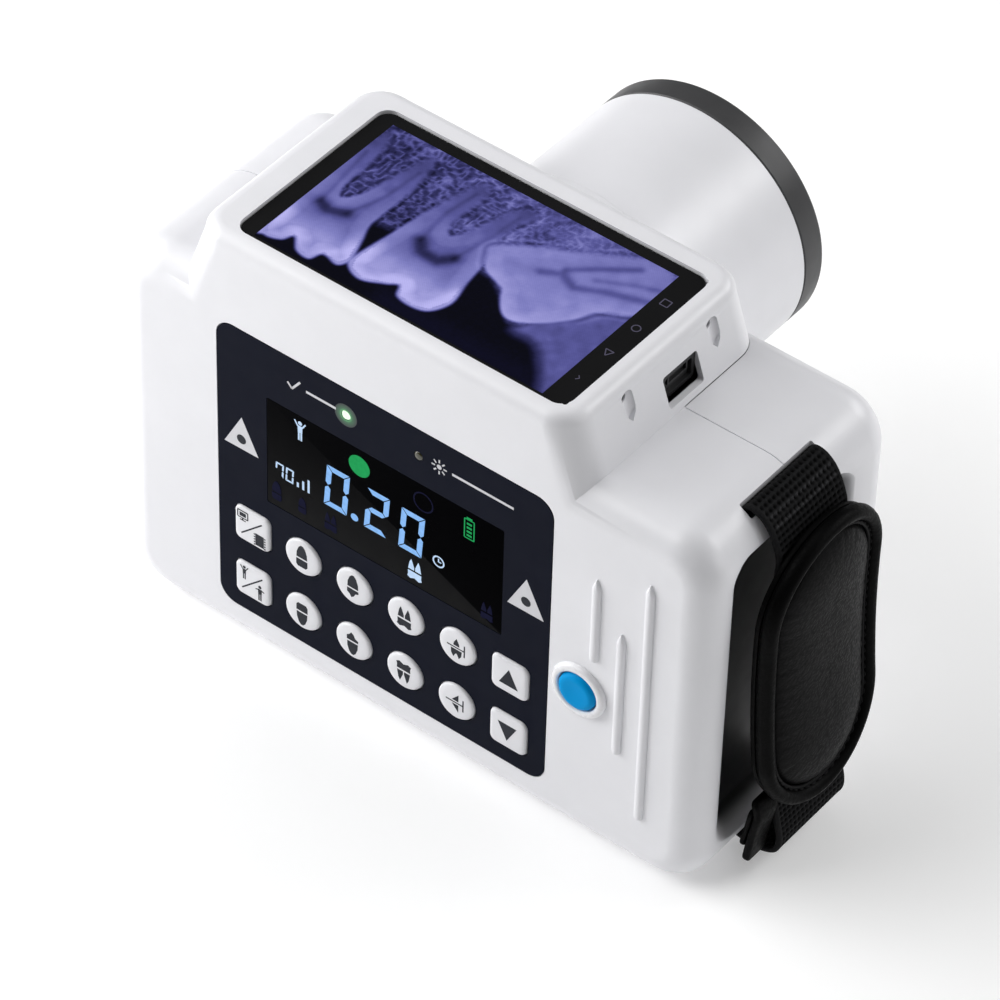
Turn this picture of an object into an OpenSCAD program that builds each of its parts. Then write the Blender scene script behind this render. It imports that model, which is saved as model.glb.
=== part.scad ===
// Handheld intraoral X-ray unit, in millimetres.
// X runs to the operator's right, Y along the beam away from the operator, Z up.
// The origin is on the underside, below the beam axis. Every piece is a separate solid.

/* [Node] */
// which node to draw

/* [Body] */
// left side of the body
body_left = -98; // [-99:0.5:-97]
// right side of the body, on the grip side
body_right = 114; // [113:0.5:115]
// height of the shoulders
body_top = 135; // [134:0.5:136]
// face with the control panel
front_y = -43; // [-43:0.5:-42.5]
// face that carries the cone
rear_y = 45; // [44.5:0.5:46]
// plane where the two half shells meet
seam_y = 2; // [1:0.5:3]
// corner radius seen from the front
corner_r = 16; // [15:0.5:18]
// edge radius around the control face
front_edge_r = 10; // [8:0.5:11]
// edge radius around the cone face
rear_edge_r = 13; // [10:0.5:14]
// thickness of the moulded walls
wall = 3; // [2.5:0.1:3.2]
// depth of the hand recess in the right side
recess_depth = 6.5; // [5:0.5:7]

/* [Screen housing] */
// height of the rim around the screen
pod_top = 155.8; // [155:0.2:157]
// left end of the rim
pod_left = -69.5; // [-70:0.5:-69]
// right end of the rim
pod_right = 65; // [64.5:0.5:66]
// face of the screen housing towards the cone
pod_rear_y = 39; // [38.5:0.5:39]
// sideways run of the sloping ends per millimetre of height
pod_slope = 0.33; // [0.3:0.01:0.36]
// length of the screen glass
glass_l = 116; // [115:0.5:117]
// width of the screen glass
glass_w = 67.2; // [66.5:0.1:68]

/* [Control panel] */
// width of the control panel film
panel_w = 120.6; // [120:0.2:121]
// height of the control panel film
panel_h = 110.4; // [110:0.2:111]
// height of the panel's centre
panel_z = 69.4; // [69:0.1:70]
// distance between neighbouring keys
key_pitch = 19; // [18.5:0.1:19.2]
// height of the upper row of keys
key_top_z = 49.5; // [49:0.1:50]
// distance between the two rows of keys
key_row = 22.3; // [22:0.1:22.5]
// radius of a round key
key_r = 6.55; // [6.3:0.05:6.7]
// side of a square key
key_side = 13.1; // [12.6:0.1:13.4]
// free space around a key
key_gap = 0.35; // [0.3:0.05:0.4]

/* [Exposure button] */
// sideways place of the exposure button
button_x = 71.6; // [71:0.1:72]
// height of the exposure button
button_z = 60.2; // [60:0.1:61]
// radius of the exposure button
button_r = 6.5; // [6.2:0.1:6.6]
// radius of the white ring around it
bezel_r = 9.4; // [9:0.1:10]

/* [Cone] */
// height of the beam axis
beam_z = 98.3; // [98:0.1:99]
// outer radius of the cone
cone_r = 42; // [41:0.5:42.5]
// front edge of the cone's end ring
cone_end_y = 110.7; // [109:0.1:112]
// length of the end ring
ring_len = 9.4; // [9:0.1:10]
// wall of the cone
cone_wall = 3; // [2.5:0.1:3.2]

/* [Strap] */
// width of the webbing
web_w = 32; // [30:0.5:32]
// thickness of the webbing
web_t = 2; // [1.6:0.1:2.2]
// place of the strap's centre along the beam
strap_y = -2; // [-2.5:0.5:-1.5]
// length of the hand pad
pad_l = 102; // [98:1:104]
// width of the hand pad
pad_w = 53; // [50:1:54]
// height of the hand pad's centre
pad_z = 75.8; // [75:0.2:76.6]

/* [Hidden] */
$fn = 48;
eps = 0.01;
soft_fn = 32;
rim_r = 10.5;
rim_edge_r = 4.8;
glass_t = 1.6;
glass_drop = 0.8;
glass_gap = 0.2;
glass_y = -3.7;
glass_corner = 4.3;
screen_t = 2.4;
screen_z = pod_top - glass_drop - glass_t - screen_t;
board_z = 140.4;
film_t = 0.9;
film_proud = 0.1;
film_corner = 6;
film_y = front_y - film_proud;
pocket_y = film_y + film_t;
window_w = 85.5;
window_h = 40.7;
window_x = 0.8;
window_z = 84.1;
lamp_x = 13;
lamp_z = 114.7;
lamp_r = 1.6;
lamp_hole_r = 1.65;
inner_y = front_y + wall;
key_flange_t = 1;
key_flange_extra = 1.4;
key_stop_gap = 0.4;
key_travel = 0.5;
key_low_z = key_top_z - key_row;
key_side_x = 47.4;
key_face_y = front_y - 1;
key_flange_y = inner_y + key_stop_gap;
switch_gap = 0.3;
switch_t = 1.6;
stem_l = 0.6;
switch_y = key_flange_y + key_flange_t + stem_l + key_travel + switch_gap;
board_t = 1.6;
keyboard_y = switch_y + switch_t;
button_travel = 1.2;
bezel_y = front_y - 1.8;
bezel_back_y = inner_y + 0.4;
button_flange_y = bezel_back_y + key_stop_gap;
button_switch_y = button_flange_y + 1.6 + button_travel + switch_gap;
tube_x = 50;
tube_z0 = 60;
tube_z1 = 122;
tube_y0 = -22;
tube_y1 = 42;
can_t = 2;
lid_t = 3;
liner_t = 1;
liner_r = cone_r - cone_wall - 0.1;
tube_end_y = cone_end_y - ring_len;
screw_r = 1.5;
screw_hole_r = 1.6;
head_r = 2.9;
head_hole_r = 3.2;
boss_r = 4.5;
screw_spots = [[-86, 14], [-86, 68], [-86, 121], [90, 121], [92, 68], [90, 14]];
anchor_r = 2.5;
anchor_hole_r = 2.55;
lug_r = 7.5;
anchor_half_l = 19.6;
anchor_hole_half_l = 21;
lug_inner = 17.2;
lug_outer = 19.8;
upper_anchor = [101.5, 124.5];
lower_anchor = [101.5, 11];
rib_list = [[76.1, 74.3, 106.2], [85.2, 43.3, 90.7], [94.1, 22.2, 115.3]];
rib_w = 3;
rib_h = 1.3;
ring_hole_r = 8.4;
cone_screw_circle = 33;
cone_screw_r = 1.25;
cone_floor_t = 4;
beam_hole_r = 22;
collar_w = 5;
collar_h = 4;
spigot_step = 1;
head_h = 2;
head_sink = 6;
tail_y0 = -27.6;
tail_y1 = -18.3;
// centres of the recess's corners, their radius, and the rim's section as
// [way in from the rim, depth]
recess_y0 = -23.7;
recess_y1 = 14;
recess_z0 = 22.5;
recess_z1 = 117;
recess_r = 10;
recess_steps = 8;
recess_over = 20;
recess_rim = [
  [0, 0], [0.6, 0.08], [1.6, 0.5], [2.8, 1.5], [4, 3], [5.2, 4.5], [6.6, 5.7], [8, 6.3],
  [9, recess_depth]
];
pad_x = 118.2;
pad_lean = 2.1;
pad_bow = 3.25;
arc_n = 10;
flat_n = 7;
port_y = -3.6;
slot_x = 65.3;
slot_r = 2.6;
white = [0.92, 0.92, 0.94];
panel_blue = [0.12, 0.14, 0.18];
key_white = [0.88, 0.88, 0.9];
steel = [0.72, 0.73, 0.75];
dark = [0.1, 0.1, 0.11];
board_green = [0.1, 0.35, 0.22];

// ---- shared shapes ----

// a rounded rectangle with exact arcs, centred
module plate2d(w, h, r) {
  square([w - 2 * r, h], center = true);
  square([w, h - 2 * r], center = true);
  for (sx = [-1, 1])
    for (sz = [-1, 1])
      translate([sx * (w / 2 - r), sz * (h / 2 - r)])
        circle(r = r);
}

// draws a flat outline in X and Z and gives it a thickness from y0 to y1
module upright(y0, y1) {
  translate([0, y1, 0])
    rotate([90, 0, 0])
      linear_extrude(height = y1 - y0)
        children();
}

// a round bar along Y
module bar_y(x, z, r, y0, y1) {
  translate([x, y0, z])
    rotate([-90, 0, 0])
      cylinder(r = r, h = y1 - y0);
}

// one corner post: outer radius rc, edge radius rf at y0 and rr at y1
module corner_post(rc, rf, rr, y0, y1) {
  steps = 7;
  front_arc = [for (i = [0:steps]) let (a = 90 * i / steps)
    [rc - rf + rf * sin(a), y0 + rf - rf * cos(a)]];
  rear_arc = [for (i = [0:steps]) let (a = 90 * i / steps)
    [rc - rr + rr * cos(a), y1 - rr + rr * sin(a)]];
  rotate([-90, 0, 0])
    rotate_extrude($fn = soft_fn)
      polygon(concat([[0, y0]], front_arc, rear_arc, [[0, y1]]));
}

// the body's outer form, shrunk all round by inset
module body_block(inset) {
  rc = corner_r - inset;
  x0 = body_left + corner_r;
  x1 = body_right - corner_r;
  z1 = body_top - corner_r;
  hull()
    for (x = [x0, x1])
      for (z = [corner_r, z1])
        translate([x, 0, z])
          corner_post(rc, front_edge_r - inset, rear_edge_r - inset,
            front_y + inset, rear_y - inset);
}

// one post of the screen housing, with a rounded top edge
module rim_post(r, edge, z0, z1, x0, x1, y) {
  translate([x1, y, z1 - edge])
    rotate_extrude($fn = soft_fn) {
      square([r - edge, edge]);
      translate([r - edge, 0])
        intersection() {
          circle(r = edge, $fn = soft_fn);
          square([edge, edge]);
        }
    }
  translate([x0, y, z0])
    cylinder(r = r, h = 1, $fn = soft_fn);
}

// the screen housing's outer form, shrunk by inset, with its top at z1
module pod_block(inset, z0, z1) {
  r = rim_r - inset;
  edge = max(rim_edge_r - inset, 1);
  low = pod_slope * (z1 - edge - z0);
  shift = pod_slope * (pod_top - z1);
  xl = pod_left + rim_r - shift;
  xr = pod_right - rim_r + shift;
  hull()
    for (y = [front_y + rim_r, pod_rear_y - rim_r]) {
      rim_post(r, edge, z0, z1, xl - low, xl, y);
      rim_post(r, edge, z0, z1, xr + low, xr, y);
    }
}

// one level of the hand recess: a rounded rectangle around its corner centres
function recess_outline(r) = [
  for (k = [0:3])
    for (i = [0:recess_steps])
      let (
        a = 90 * k + 90 * i / recess_steps,
        y = k == 0 || k == 3 ? recess_y1 : recess_y0,
        z = k < 2 ? recess_z1 : recess_z0
      )
      [y + r * cos(a), z + r * sin(a)]
];

// the hand recess in the right side, grown by extra: a soft rim, then a flat floor
module recess_block(extra) {
  rows = concat([[0, -recess_over]], recess_rim);
  m = len(rows);
  n = 4 * (recess_steps + 1);
  points = [
    for (row = rows)
      for (q = recess_outline(recess_r + extra - row[0]))
        [body_right - extra - row[1], q[0], q[1]]
  ];
  walls = [
    for (s = [0:m - 2])
      for (i = [0:n - 1])
        let (j = (i + 1) % n, a = s * n, b = (s + 1) * n)
        each [[a + i, a + j, b + j], [a + i, b + j, b + i]]
  ];
  caps = [[for (i = [n - 1:-1:0]) i], [for (i = [0:n - 1]) (m - 1) * n + i]];
  polyhedron(points = points, faces = concat(walls, caps), convexity = 4);
}

// the slots that let the webbing out at the upper and the lower right corner
module strap_slots() {
  half = web_w / 2 + 0.6;
  translate([104.2, strap_y - half, 127.6])
    cube([4.4, 2 * half, 14.4]);
  translate([104, strap_y - half, 4.2])
    cube([20, 2 * half, 5.2]);
}

// four copies of a piece around the beam axis, where the cone's screws go
module around_beam() {
  for (a = [45:90:315])
    translate([cone_screw_circle * cos(a), 0, beam_z + cone_screw_circle * sin(a)])
      children();
}

// round bars of radius r from y0 to y1 at the six places of the shell screws
module bosses(r, y0, y1) {
  for (p = screw_spots)
    bar_y(p[0], p[1], r, y0, y1);
}

// ---- housing ----

module front_shell() {
  color(white)
    difference() {
      union() {
        difference() {
          union() {
            intersection() {
              body_block(0);
              translate([-150, -100, -10])
                cube([300, 100 + seam_y, 200]);
            }
            pod_block(0, 120, pod_top);
          }
          // hollow of the body
          difference() {
            body_block(wall);
            recess_block(wall);
          }
          // hollow of the screen housing
          pod_block(wall, 121, pod_top - 5);
          recess_block(0);
          // the cone side lies below this step
          translate([-150, seam_y, -10])
            cube([300, 100, 10.3 + body_top]);
        }
        bosses(boss_r, front_y + 1.5, seam_y);
        anchor_lugs(strap_y - lug_outer, strap_y - lug_inner);
        for (r = rib_list)
          rib(r[0], r[1], r[2]);
      }
      // screw holes
      bosses(screw_r, seam_y - 14, seam_y + 1);
      for (p = [upper_anchor, lower_anchor])
        bar_y(p[0], p[1], anchor_hole_r, strap_y - anchor_hole_half_l, strap_y);
      strap_slots();
      // pocket for the panel film, window and lamps
      translate([0, 0, panel_z])
        upright(front_y - 1, pocket_y)
          plate2d(panel_w + 0.3, panel_h + 0.3, film_corner + 0.15);
      translate([window_x, 0, window_z])
        upright(front_y - 1, inner_y + 1)
          square([window_w + 1, window_h + 1], center = true);
      for (x = [-lamp_x, lamp_x])
        bar_y(x, lamp_z, lamp_r + 0.4, front_y - 1, inner_y + 1);
      // key openings
      for (i = [0:3])
        for (z = [key_top_z, key_low_z])
          bar_y((i - 1.5) * key_pitch, z, key_r + key_gap, front_y - 1, inner_y + 1);
      for (x = [-key_side_x, key_side_x])
        for (z = [key_top_z, key_low_z])
          translate([x, 0, z])
            upright(front_y - 1, inner_y + 1)
              plate2d(key_side + 2 * key_gap, key_side + 2 * key_gap, 2.3 + key_gap);
      // opening for the button's ring
      bar_y(button_x, button_z, ring_hole_r, front_y - 1, inner_y + 1);
      // screen opening with a ledge for the glass
      translate([0, glass_y, pod_top - glass_drop - glass_t])
        linear_extrude(height = 5)
          plate2d(glass_l + 2 * glass_gap, glass_w + 2 * glass_gap, glass_corner + glass_gap);
      translate([0.55, glass_y, pod_top - 8])
        linear_extrude(height = 8)
          plate2d(glass_l - 1.3, glass_w - 1.8, 0.8);
      // socket opening in the right end
      translate([60, port_y, 137.4])
        cube([20, 15.6, 9.6]);
      // two tapering slots beside it
      for (y = [-18.3, 20.3])
        translate([0, y, 0])
          tapering_slot();
    }
}

// an arched groove that runs out to a point at its lower end
module tapering_slot() {
  intersection() {
    translate([0, 0, 138])
      linear_extrude(height = 16) {
        translate([slot_x, 0])
          circle(r = slot_r, $fn = 24);
        translate([slot_x - 1, -slot_r])
          square([1, 2 * slot_r]);
      }
    translate([slot_x - 5, 0, 149.8])
      rotate([0, 90, 0])
        linear_extrude(height = 10) {
          circle(r = slot_r, $fn = 24);
          translate([0, -slot_r])
            square([12, 2 * slot_r]);
        }
  }
}

// a raised rib on the control face, pointed at the top
module rib(x, z0, z1) {
  w = rib_w / 2;
  translate([x, 0, 0])
    upright(front_y - rib_h, front_y + 0.5)
      polygon([[-w, z0], [w, z0], [w, z1 - 1.8 * w], [0, z1], [-w, z1 - 1.8 * w]]);
}

// the lugs inside the shells that hold the strap's anchor bars
module anchor_lugs(y0, y1) {
  for (p = [upper_anchor, lower_anchor])
    bar_y(p[0], p[1], lug_r, y0, y1);
}

module rear_shell() {
  color(white)
    difference() {
      union() {
        difference() {
          union() {
            intersection() {
              body_block(0);
              translate([-150, seam_y + 0.02, -10])
                cube([300, 100, 200]);
            }
            // collar around the foot of the cone
            bar_y(0, beam_z, cone_r + collar_w, pod_rear_y + 0.5, rear_y + collar_h);
          }
          difference() {
            body_block(wall);
            recess_block(wall);
          }
          recess_block(0);
        }
        bosses(boss_r, seam_y + 0.02, rear_y - 1.5);
        anchor_lugs(strap_y + lug_inner, strap_y + lug_outer);
      }
      for (p = [upper_anchor, lower_anchor])
        bar_y(p[0], p[1], anchor_hole_r, strap_y, strap_y + anchor_hole_half_l);
      strap_slots();
      // screw holes with sunk heads
      bosses(screw_hole_r, seam_y - 1, rear_y + 1);
      bosses(head_hole_r, rear_y - head_sink, rear_y + 5);
      // beam window and the seat of the cone
      bar_y(0, beam_z, beam_hole_r + 2, seam_y, rear_y + 5);
      bar_y(0, beam_z, cone_r - spigot_step + 0.05, rear_y, rear_y + 5);
      // holes for the screws of the cone's flange
      around_beam()
        bar_y(0, 0, screw_hole_r, rear_y - 5, rear_y + 1);
    }
}

module cone_tube() {
  color(white)
    difference() {
      union() {
        bar_y(0, beam_z, cone_r - spigot_step, rear_y, rear_y + collar_h + eps);
        bar_y(0, beam_z, cone_r, rear_y + collar_h, tube_end_y);
      }
      bar_y(0, beam_z, cone_r - cone_wall, rear_y + cone_floor_t, tube_end_y + 1);
      bar_y(0, beam_z, beam_hole_r, rear_y - 1, rear_y + 5);
      around_beam()
        bar_y(0, 0, screw_hole_r, rear_y - 1, rear_y + 5);
    }
}

module cone_liner() {
  color(steel)
    difference() {
      bar_y(0, beam_z, liner_r, rear_y + 7, tube_end_y - 0.2);
      bar_y(0, beam_z, liner_r - liner_t, rear_y + 6, tube_end_y + 1);
    }
}

module cone_end_ring() {
  edge = 1.4;
  bore = cone_r - cone_wall - 1;
  color([0.33, 0.33, 0.33])
    translate([0, tube_end_y, beam_z])
      rotate([-90, 0, 0])
        rotate_extrude($fn = 96)
          polygon([[bore, 0], [cone_r, 0], [cone_r, ring_len - edge],
            [cone_r - 0.4 * edge, ring_len - 0.4 * edge], [cone_r - edge, ring_len],
            [bore + edge, ring_len], [bore, ring_len - edge]]);
}

// ---- screen ----

module screen_glass() {
  color([0.05, 0.05, 0.07])
    translate([0, glass_y, pod_top - glass_drop - glass_t])
      linear_extrude(height = glass_t)
        plate2d(glass_l, glass_w, glass_corner);
}

module screen_panel() {
  color([0.42, 0.42, 0.7])
    translate([2.7, glass_y - 0.9, screen_z])
      linear_extrude(height = screen_t)
        square([110, 62.4], center = true);
}

module screen_board() {
  color(board_green)
    translate([0, glass_y, board_z]) {
      translate([4, 0, 0])
        linear_extrude(height = board_t)
          plate2d(112, 58, 3);
      for (x = [-46, 50])
        for (y = [-24, 24])
          translate([x, y, board_t - eps])
            cylinder(r = 2.5, h = screen_z - board_z - board_t + eps);
      translate([-34, -18, board_t - eps])
        cube([22, 22, 2]);
      translate([2, -16, board_t - eps])
        cube([14, 16, 1.6]);
      translate([-44, 12, board_t - eps])
        cube([30, 10, 1.4]);
    }
}

module port_socket() {
  color(steel)
    translate([58.4, -0.3, board_z + board_t])
      difference() {
        cube([7.4, 9, 3.4]);
        translate([1, 0.5, 0.5])
          cube([8, 8, 2.4]);
      }
}

// ---- control panel ----

module control_panel() {
  color(panel_blue)
    difference() {
      translate([0, 0, panel_z])
        upright(film_y, pocket_y)
          plate2d(panel_w, panel_h, film_corner);
      translate([window_x, 0, window_z])
        upright(film_y - 1, pocket_y + 1)
          square([window_w + 0.2, window_h + 0.2], center = true);
      for (x = [-lamp_x, lamp_x])
        bar_y(x, lamp_z, lamp_hole_r, film_y - 1, pocket_y + 1);
      for (i = [0:3])
        for (z = [key_top_z, key_low_z])
          bar_y((i - 1.5) * key_pitch, z, key_r + key_gap, film_y - 1, pocket_y + 1);
      for (x = [-key_side_x, key_side_x])
        for (z = [key_top_z, key_low_z])
          translate([x, 0, z])
            upright(film_y - 1, pocket_y + 1)
              plate2d(key_side + 2 * key_gap, key_side + 2 * key_gap, 2.3 + key_gap);
    }
}

module display_window() {
  color([0.03, 0.03, 0.05])
    translate([window_x, 0, window_z])
      upright(film_y, pocket_y)
        square([window_w, window_h], center = true);
}

module display_module() {
  color(board_green)
    translate([window_x, 0, window_z]) {
      upright(pocket_y + 0.02, inner_y)
        square([window_w, window_h], center = true);
      upright(inner_y - eps, inner_y + 2.4)
        square([window_w + 5, window_h + 4], center = true);
    }
}

// a small lamp with a round lens
module lamp(x) {
  bar_y(x, lamp_z, lamp_r, film_y - 0.3, inner_y + 1);
  bar_y(x, lamp_z, lamp_r + 0.8, inner_y + 1 - eps, inner_y + 3.2);
}

module ready_lamp() {
  color([0.85, 1, 0.85])
    lamp(-lamp_x);
}

module exposure_lamp() {
  color([0.2, 0.19, 0.1])
    lamp(lamp_x);
}

// a round key with its flange and stem, for column i
module tooth_key(i, z) {
  x = (i - 1.5) * key_pitch;
  color(key_white) {
    bar_y(x, z, key_r - 0.5, key_face_y, key_face_y + 0.5);
    bar_y(x, z, key_r, key_face_y + 0.5, key_flange_y);
    bar_y(x, z, key_r + key_flange_extra, key_flange_y, key_flange_y + key_flange_t);
    bar_y(x, z, 2, key_flange_y + key_flange_t, key_flange_y + key_flange_t + stem_l);
  }
}

module tooth_key_1() { tooth_key(0, key_top_z); }
module tooth_key_2() { tooth_key(1, key_top_z); }
module tooth_key_3() { tooth_key(2, key_top_z); }
module tooth_key_4() { tooth_key(3, key_top_z); }
module tooth_key_5() { tooth_key(0, key_low_z); }
module tooth_key_6() { tooth_key(1, key_low_z); }
module tooth_key_7() { tooth_key(2, key_low_z); }
module tooth_key_8() { tooth_key(3, key_low_z); }

// a square key with its flange and stem
module square_key(x, z) {
  f = key_side + 2 * key_flange_extra;
  color(key_white) {
    translate([x, 0, z]) {
      upright(key_face_y, key_face_y + 0.5)
        plate2d(key_side - 1, key_side - 1, 1.8);
      upright(key_face_y + 0.5, key_flange_y)
        plate2d(key_side, key_side, 2.3);
      upright(key_flange_y, key_flange_y + key_flange_t)
        plate2d(f, f, 2.3);
    }
    bar_y(x, z, 2, key_flange_y + key_flange_t, key_flange_y + key_flange_t + stem_l);
  }
}

module receptor_key() { square_key(-key_side_x, key_top_z); }
module patient_key() { square_key(-key_side_x, key_low_z); }
module up_key() { square_key(key_side_x, key_top_z); }
module down_key() { square_key(key_side_x, key_low_z); }

module key_switches() {
  color(steel)
    for (z = [key_top_z, key_low_z])
      for (x = concat([-key_side_x, key_side_x], [for (i = [0:3]) (i - 1.5) * key_pitch]))
        translate([x, 0, z])
          upright(switch_y, keyboard_y)
            square([6, 6], center = true);
}

module keypad_board() {
  color(board_green)
    translate([0, 0, panel_z])
      upright(keyboard_y, keyboard_y + board_t)
        plate2d(116, 106, 3);
}

// ---- exposure button ----

module exposure_button() {
  face_y = bezel_y - 0.7;
  stop_y = button_flange_y;
  color([0, 0.57, 0.82])
    translate([button_x, 0, button_z])
      rotate([-90, 0, 0])
        rotate_extrude($fn = 64)
          polygon([[0, face_y], [3, face_y + 0.1], [4.8, face_y + 0.45], [5.9, face_y + 1],
            [button_r, face_y + 1.9], [button_r, stop_y], [button_r + 1.1, stop_y],
            [button_r + 1.1, stop_y + 1], [2, stop_y + 1], [2, stop_y + 1.6], [0, stop_y + 1.6]]);
}

module button_bezel() {
  bore = button_r + 0.3;
  color(white)
    translate([button_x, 0, button_z])
      rotate([-90, 0, 0])
        rotate_extrude($fn = 64)
          polygon([[bore, bezel_y + 0.6], [bore + 0.5, bezel_y], [bezel_r - 1.2, bezel_y],
            [bezel_r - 0.4, bezel_y + 0.5], [bezel_r, front_y - 0.01],
            [ring_hole_r - 0.02, front_y - 0.01], [ring_hole_r - 0.02, bezel_back_y],
            [bore, bezel_back_y]]);
}

module exposure_switch() {
  color(dark)
    translate([button_x, 0, button_z])
      upright(button_switch_y, button_switch_y + switch_t)
        square([6, 6], center = true);
}

module button_board() {
  color(board_green)
    translate([button_x, 0, button_z])
      upright(button_switch_y + switch_t, button_switch_y + switch_t + board_t)
        plate2d(18, 24, 2);
}

// ---- electronics ----

module main_board() {
  y0 = keyboard_y + board_t + 3.2;
  color(board_green) {
    translate([0, 0, 66])
      upright(y0, y0 + board_t)
        plate2d(150, 96, 3);
    translate([-68, y0 + board_t - eps, 66])
      cube([16, 6, 30]);
    translate([56, y0 + board_t - eps, 30])
      cube([14, 5, 24]);
    translate([-10, y0 + board_t - eps, 22])
      cube([24, 2.5, 24]);
  }
}

module buzzer() {
  y0 = keyboard_y + 2 * board_t + 3.25;
  color(dark)
    bar_y(-60, 42, 6, y0, y0 + 7);
}

// ---- battery ----

module battery_cells() {
  color([0.15, 0.35, 0.65])
    for (y = [-12.1, 6.9, 25.9])
      for (z = [15.6, 34.8])
        translate([-34, y, z])
          rotate([0, 90, 0])
            cylinder(r = 9.2, h = 65);
}

module battery_tray() {
  color(dark)
    difference() {
      translate([-37, -23.4, 5])
        cube([71, 60.6, 36]);
      translate([-35, -21.4, 6.2])
        cube([67, 56.6, 40]);
    }
}

// ---- X-ray tube head ----

module tube_head_case() {
  color(steel)
    difference() {
      translate([-tube_x, tube_y0 + lid_t, tube_z0])
        cube([2 * tube_x, tube_y1 - tube_y0 - lid_t, tube_z1 - tube_z0]);
      translate([-tube_x + can_t, tube_y0 - 1, tube_z0 + can_t])
        cube([2 * (tube_x - can_t), tube_y1 - tube_y0 - can_t + 1, tube_z1 - tube_z0 - 2 * can_t]);
      bar_y(0, beam_z, 16, tube_y1 - 5, tube_y1 + 1);
      around_beam()
        bar_y(0, 0, cone_screw_r, tube_y1 - 5, tube_y1 + 1);
    }
}

module tube_head_lid() {
  color(steel)
    translate([-tube_x, tube_y0, tube_z0])
      cube([2 * tube_x, lid_t - 0.02, tube_z1 - tube_z0]);
}

module xray_tube() {
  y = 14;
  color([0.8, 0.85, 0.9])
    translate([-36, y, beam_z])
      rotate([0, 90, 0]) {
        cylinder(r = 8, h = 14);
        translate([0, 0, 14 - eps])
          cylinder(r = 13, h = 44);
        translate([0, 0, 58 - eps])
          cylinder(r = 9, h = 14);
      }
}

module high_voltage_transformer() {
  color([0.6, 0.35, 0.15])
    translate([-30, -14, tube_z0 + 3]) {
      difference() {
        cube([60, 14, 20]);
        translate([10, -1, 5])
          cube([40, 16, 10]);
      }
      translate([16, 7, 10])
        rotate([0, 90, 0])
          cylinder(r = 5.6, h = 28);
    }
}

module lead_shield() {
  color([0.4, 0.42, 0.45])
    difference() {
      translate([-20, 29.4, 80])
        cube([40, 9, 37]);
      translate([-18.5, 28, 81.5])
        cube([37, 9, 34]);
      bar_y(0, beam_z, 9, 30, 50);
    }
}

module beam_filter() {
  color([0.8, 0.81, 0.83])
    bar_y(0, beam_z, 15.9, tube_y1 - can_t + 0.1, tube_y1 - 0.1);
}

// ---- fasteners ----

// a screw along Y with its head at head_y
module screw(x, z, head_y, len) {
  bar_y(x, z, screw_r, head_y - len, head_y + eps);
  bar_y(x, z, head_r, head_y, head_y + head_h);
}

module shell_screws() {
  color(steel)
    for (p = screw_spots)
      screw(p[0], p[1], rear_y - head_sink, rear_y - head_sink - seam_y + 12);
}

module cone_screws() {
  color(steel)
    around_beam() {
      bar_y(0, 0, cone_screw_r, tube_y1 - can_t + 0.1, rear_y + cone_floor_t + eps);
      bar_y(0, 0, head_r, rear_y + cone_floor_t, rear_y + cone_floor_t + head_h);
    }
}

// ---- hand strap ----

// how far out the pad's back stands at height z: a lean plus a bow
function pad_back(z) =
  let (t = 2 * (z - pad_z) / pad_l)
  pad_x - pad_lean * t + pad_bow * t * t;

// the webbing's middle line, seen from the front: out of the upper slot, behind
// the pad, round the lower fold and in at the lower slot
web_path = concat(
  [[97.6, 124.5], [98.7, 127.3], [101.5, 128.5], [104.6, 129.1], [105.7, 131], [106.5, 133],
    [108.6, 134.2], [111.2, 133.1], [113.4, 130.8], [115.2, 127.6], [116.6, 123.9]],
  [for (z = [119:-9.4:25]) [pad_back(z) - web_t / 2 - 0.04, z]],
  [[124, 19], [124.9, 14.5], [124.9, 11], [123.6, 8.2], [120.5, 6.4], [116.6, 5.7], [112.6, 6.2],
    [108, 6.9], [104.6, 7], [101.5, 7], [98.7, 8.2], [97.6, 11]]
);

// unit normal of the webbing's line at point i
function web_normal(i) =
  let (
    n = len(web_path) - 1,
    a = web_path[max(i - 1, 0)],
    b = web_path[min(i + 1, n)],
    d = b - a
  )
  [d[1], -d[0]] / norm(d);

module strap_webbing() {
  n = len(web_path) - 1;
  side_a = [for (i = [0:n]) web_path[i] + web_normal(i) * web_t / 2];
  side_b = [for (i = [n:-1:0]) web_path[i] - web_normal(i) * web_t / 2];
  color(dark)
    upright(strap_y - web_w / 2, strap_y + web_w / 2)
      polygon(concat(side_a, side_b));
}

module strap_anchors() {
  color(steel)
    for (p = [upper_anchor, lower_anchor])
      bar_y(p[0], p[1], anchor_r, strap_y - anchor_half_l, strap_y + anchor_half_l);
}

// the right half of the pad's oblong outline, made smaller by inset, as points
// [y, z] from top to bottom
function pad_half(inset) =
  let (r = pad_w / 2 - inset, flat = (pad_l - pad_w) / 2)
  concat(
    [for (i = [0:arc_n - 1]) let (a = 90 * (i + 0.5) / arc_n) [r * sin(a), flat + r * cos(a)]],
    [for (i = [1:flat_n]) [r, flat - 2 * flat * i / (flat_n + 1)]],
    [for (i = [0:arc_n - 1]) let (a = 90 * (i + 0.5) / arc_n) [r * cos(a), -flat - r * sin(a)]]
  );

// the whole outline; point i and the point as far from its end lie at one height
function pad_outline(inset) =
  let (half = pad_half(inset), n = len(half))
  concat(half, [for (i = [n - 1:-1:0]) [-half[i][0], half[i][1]]]);

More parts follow.
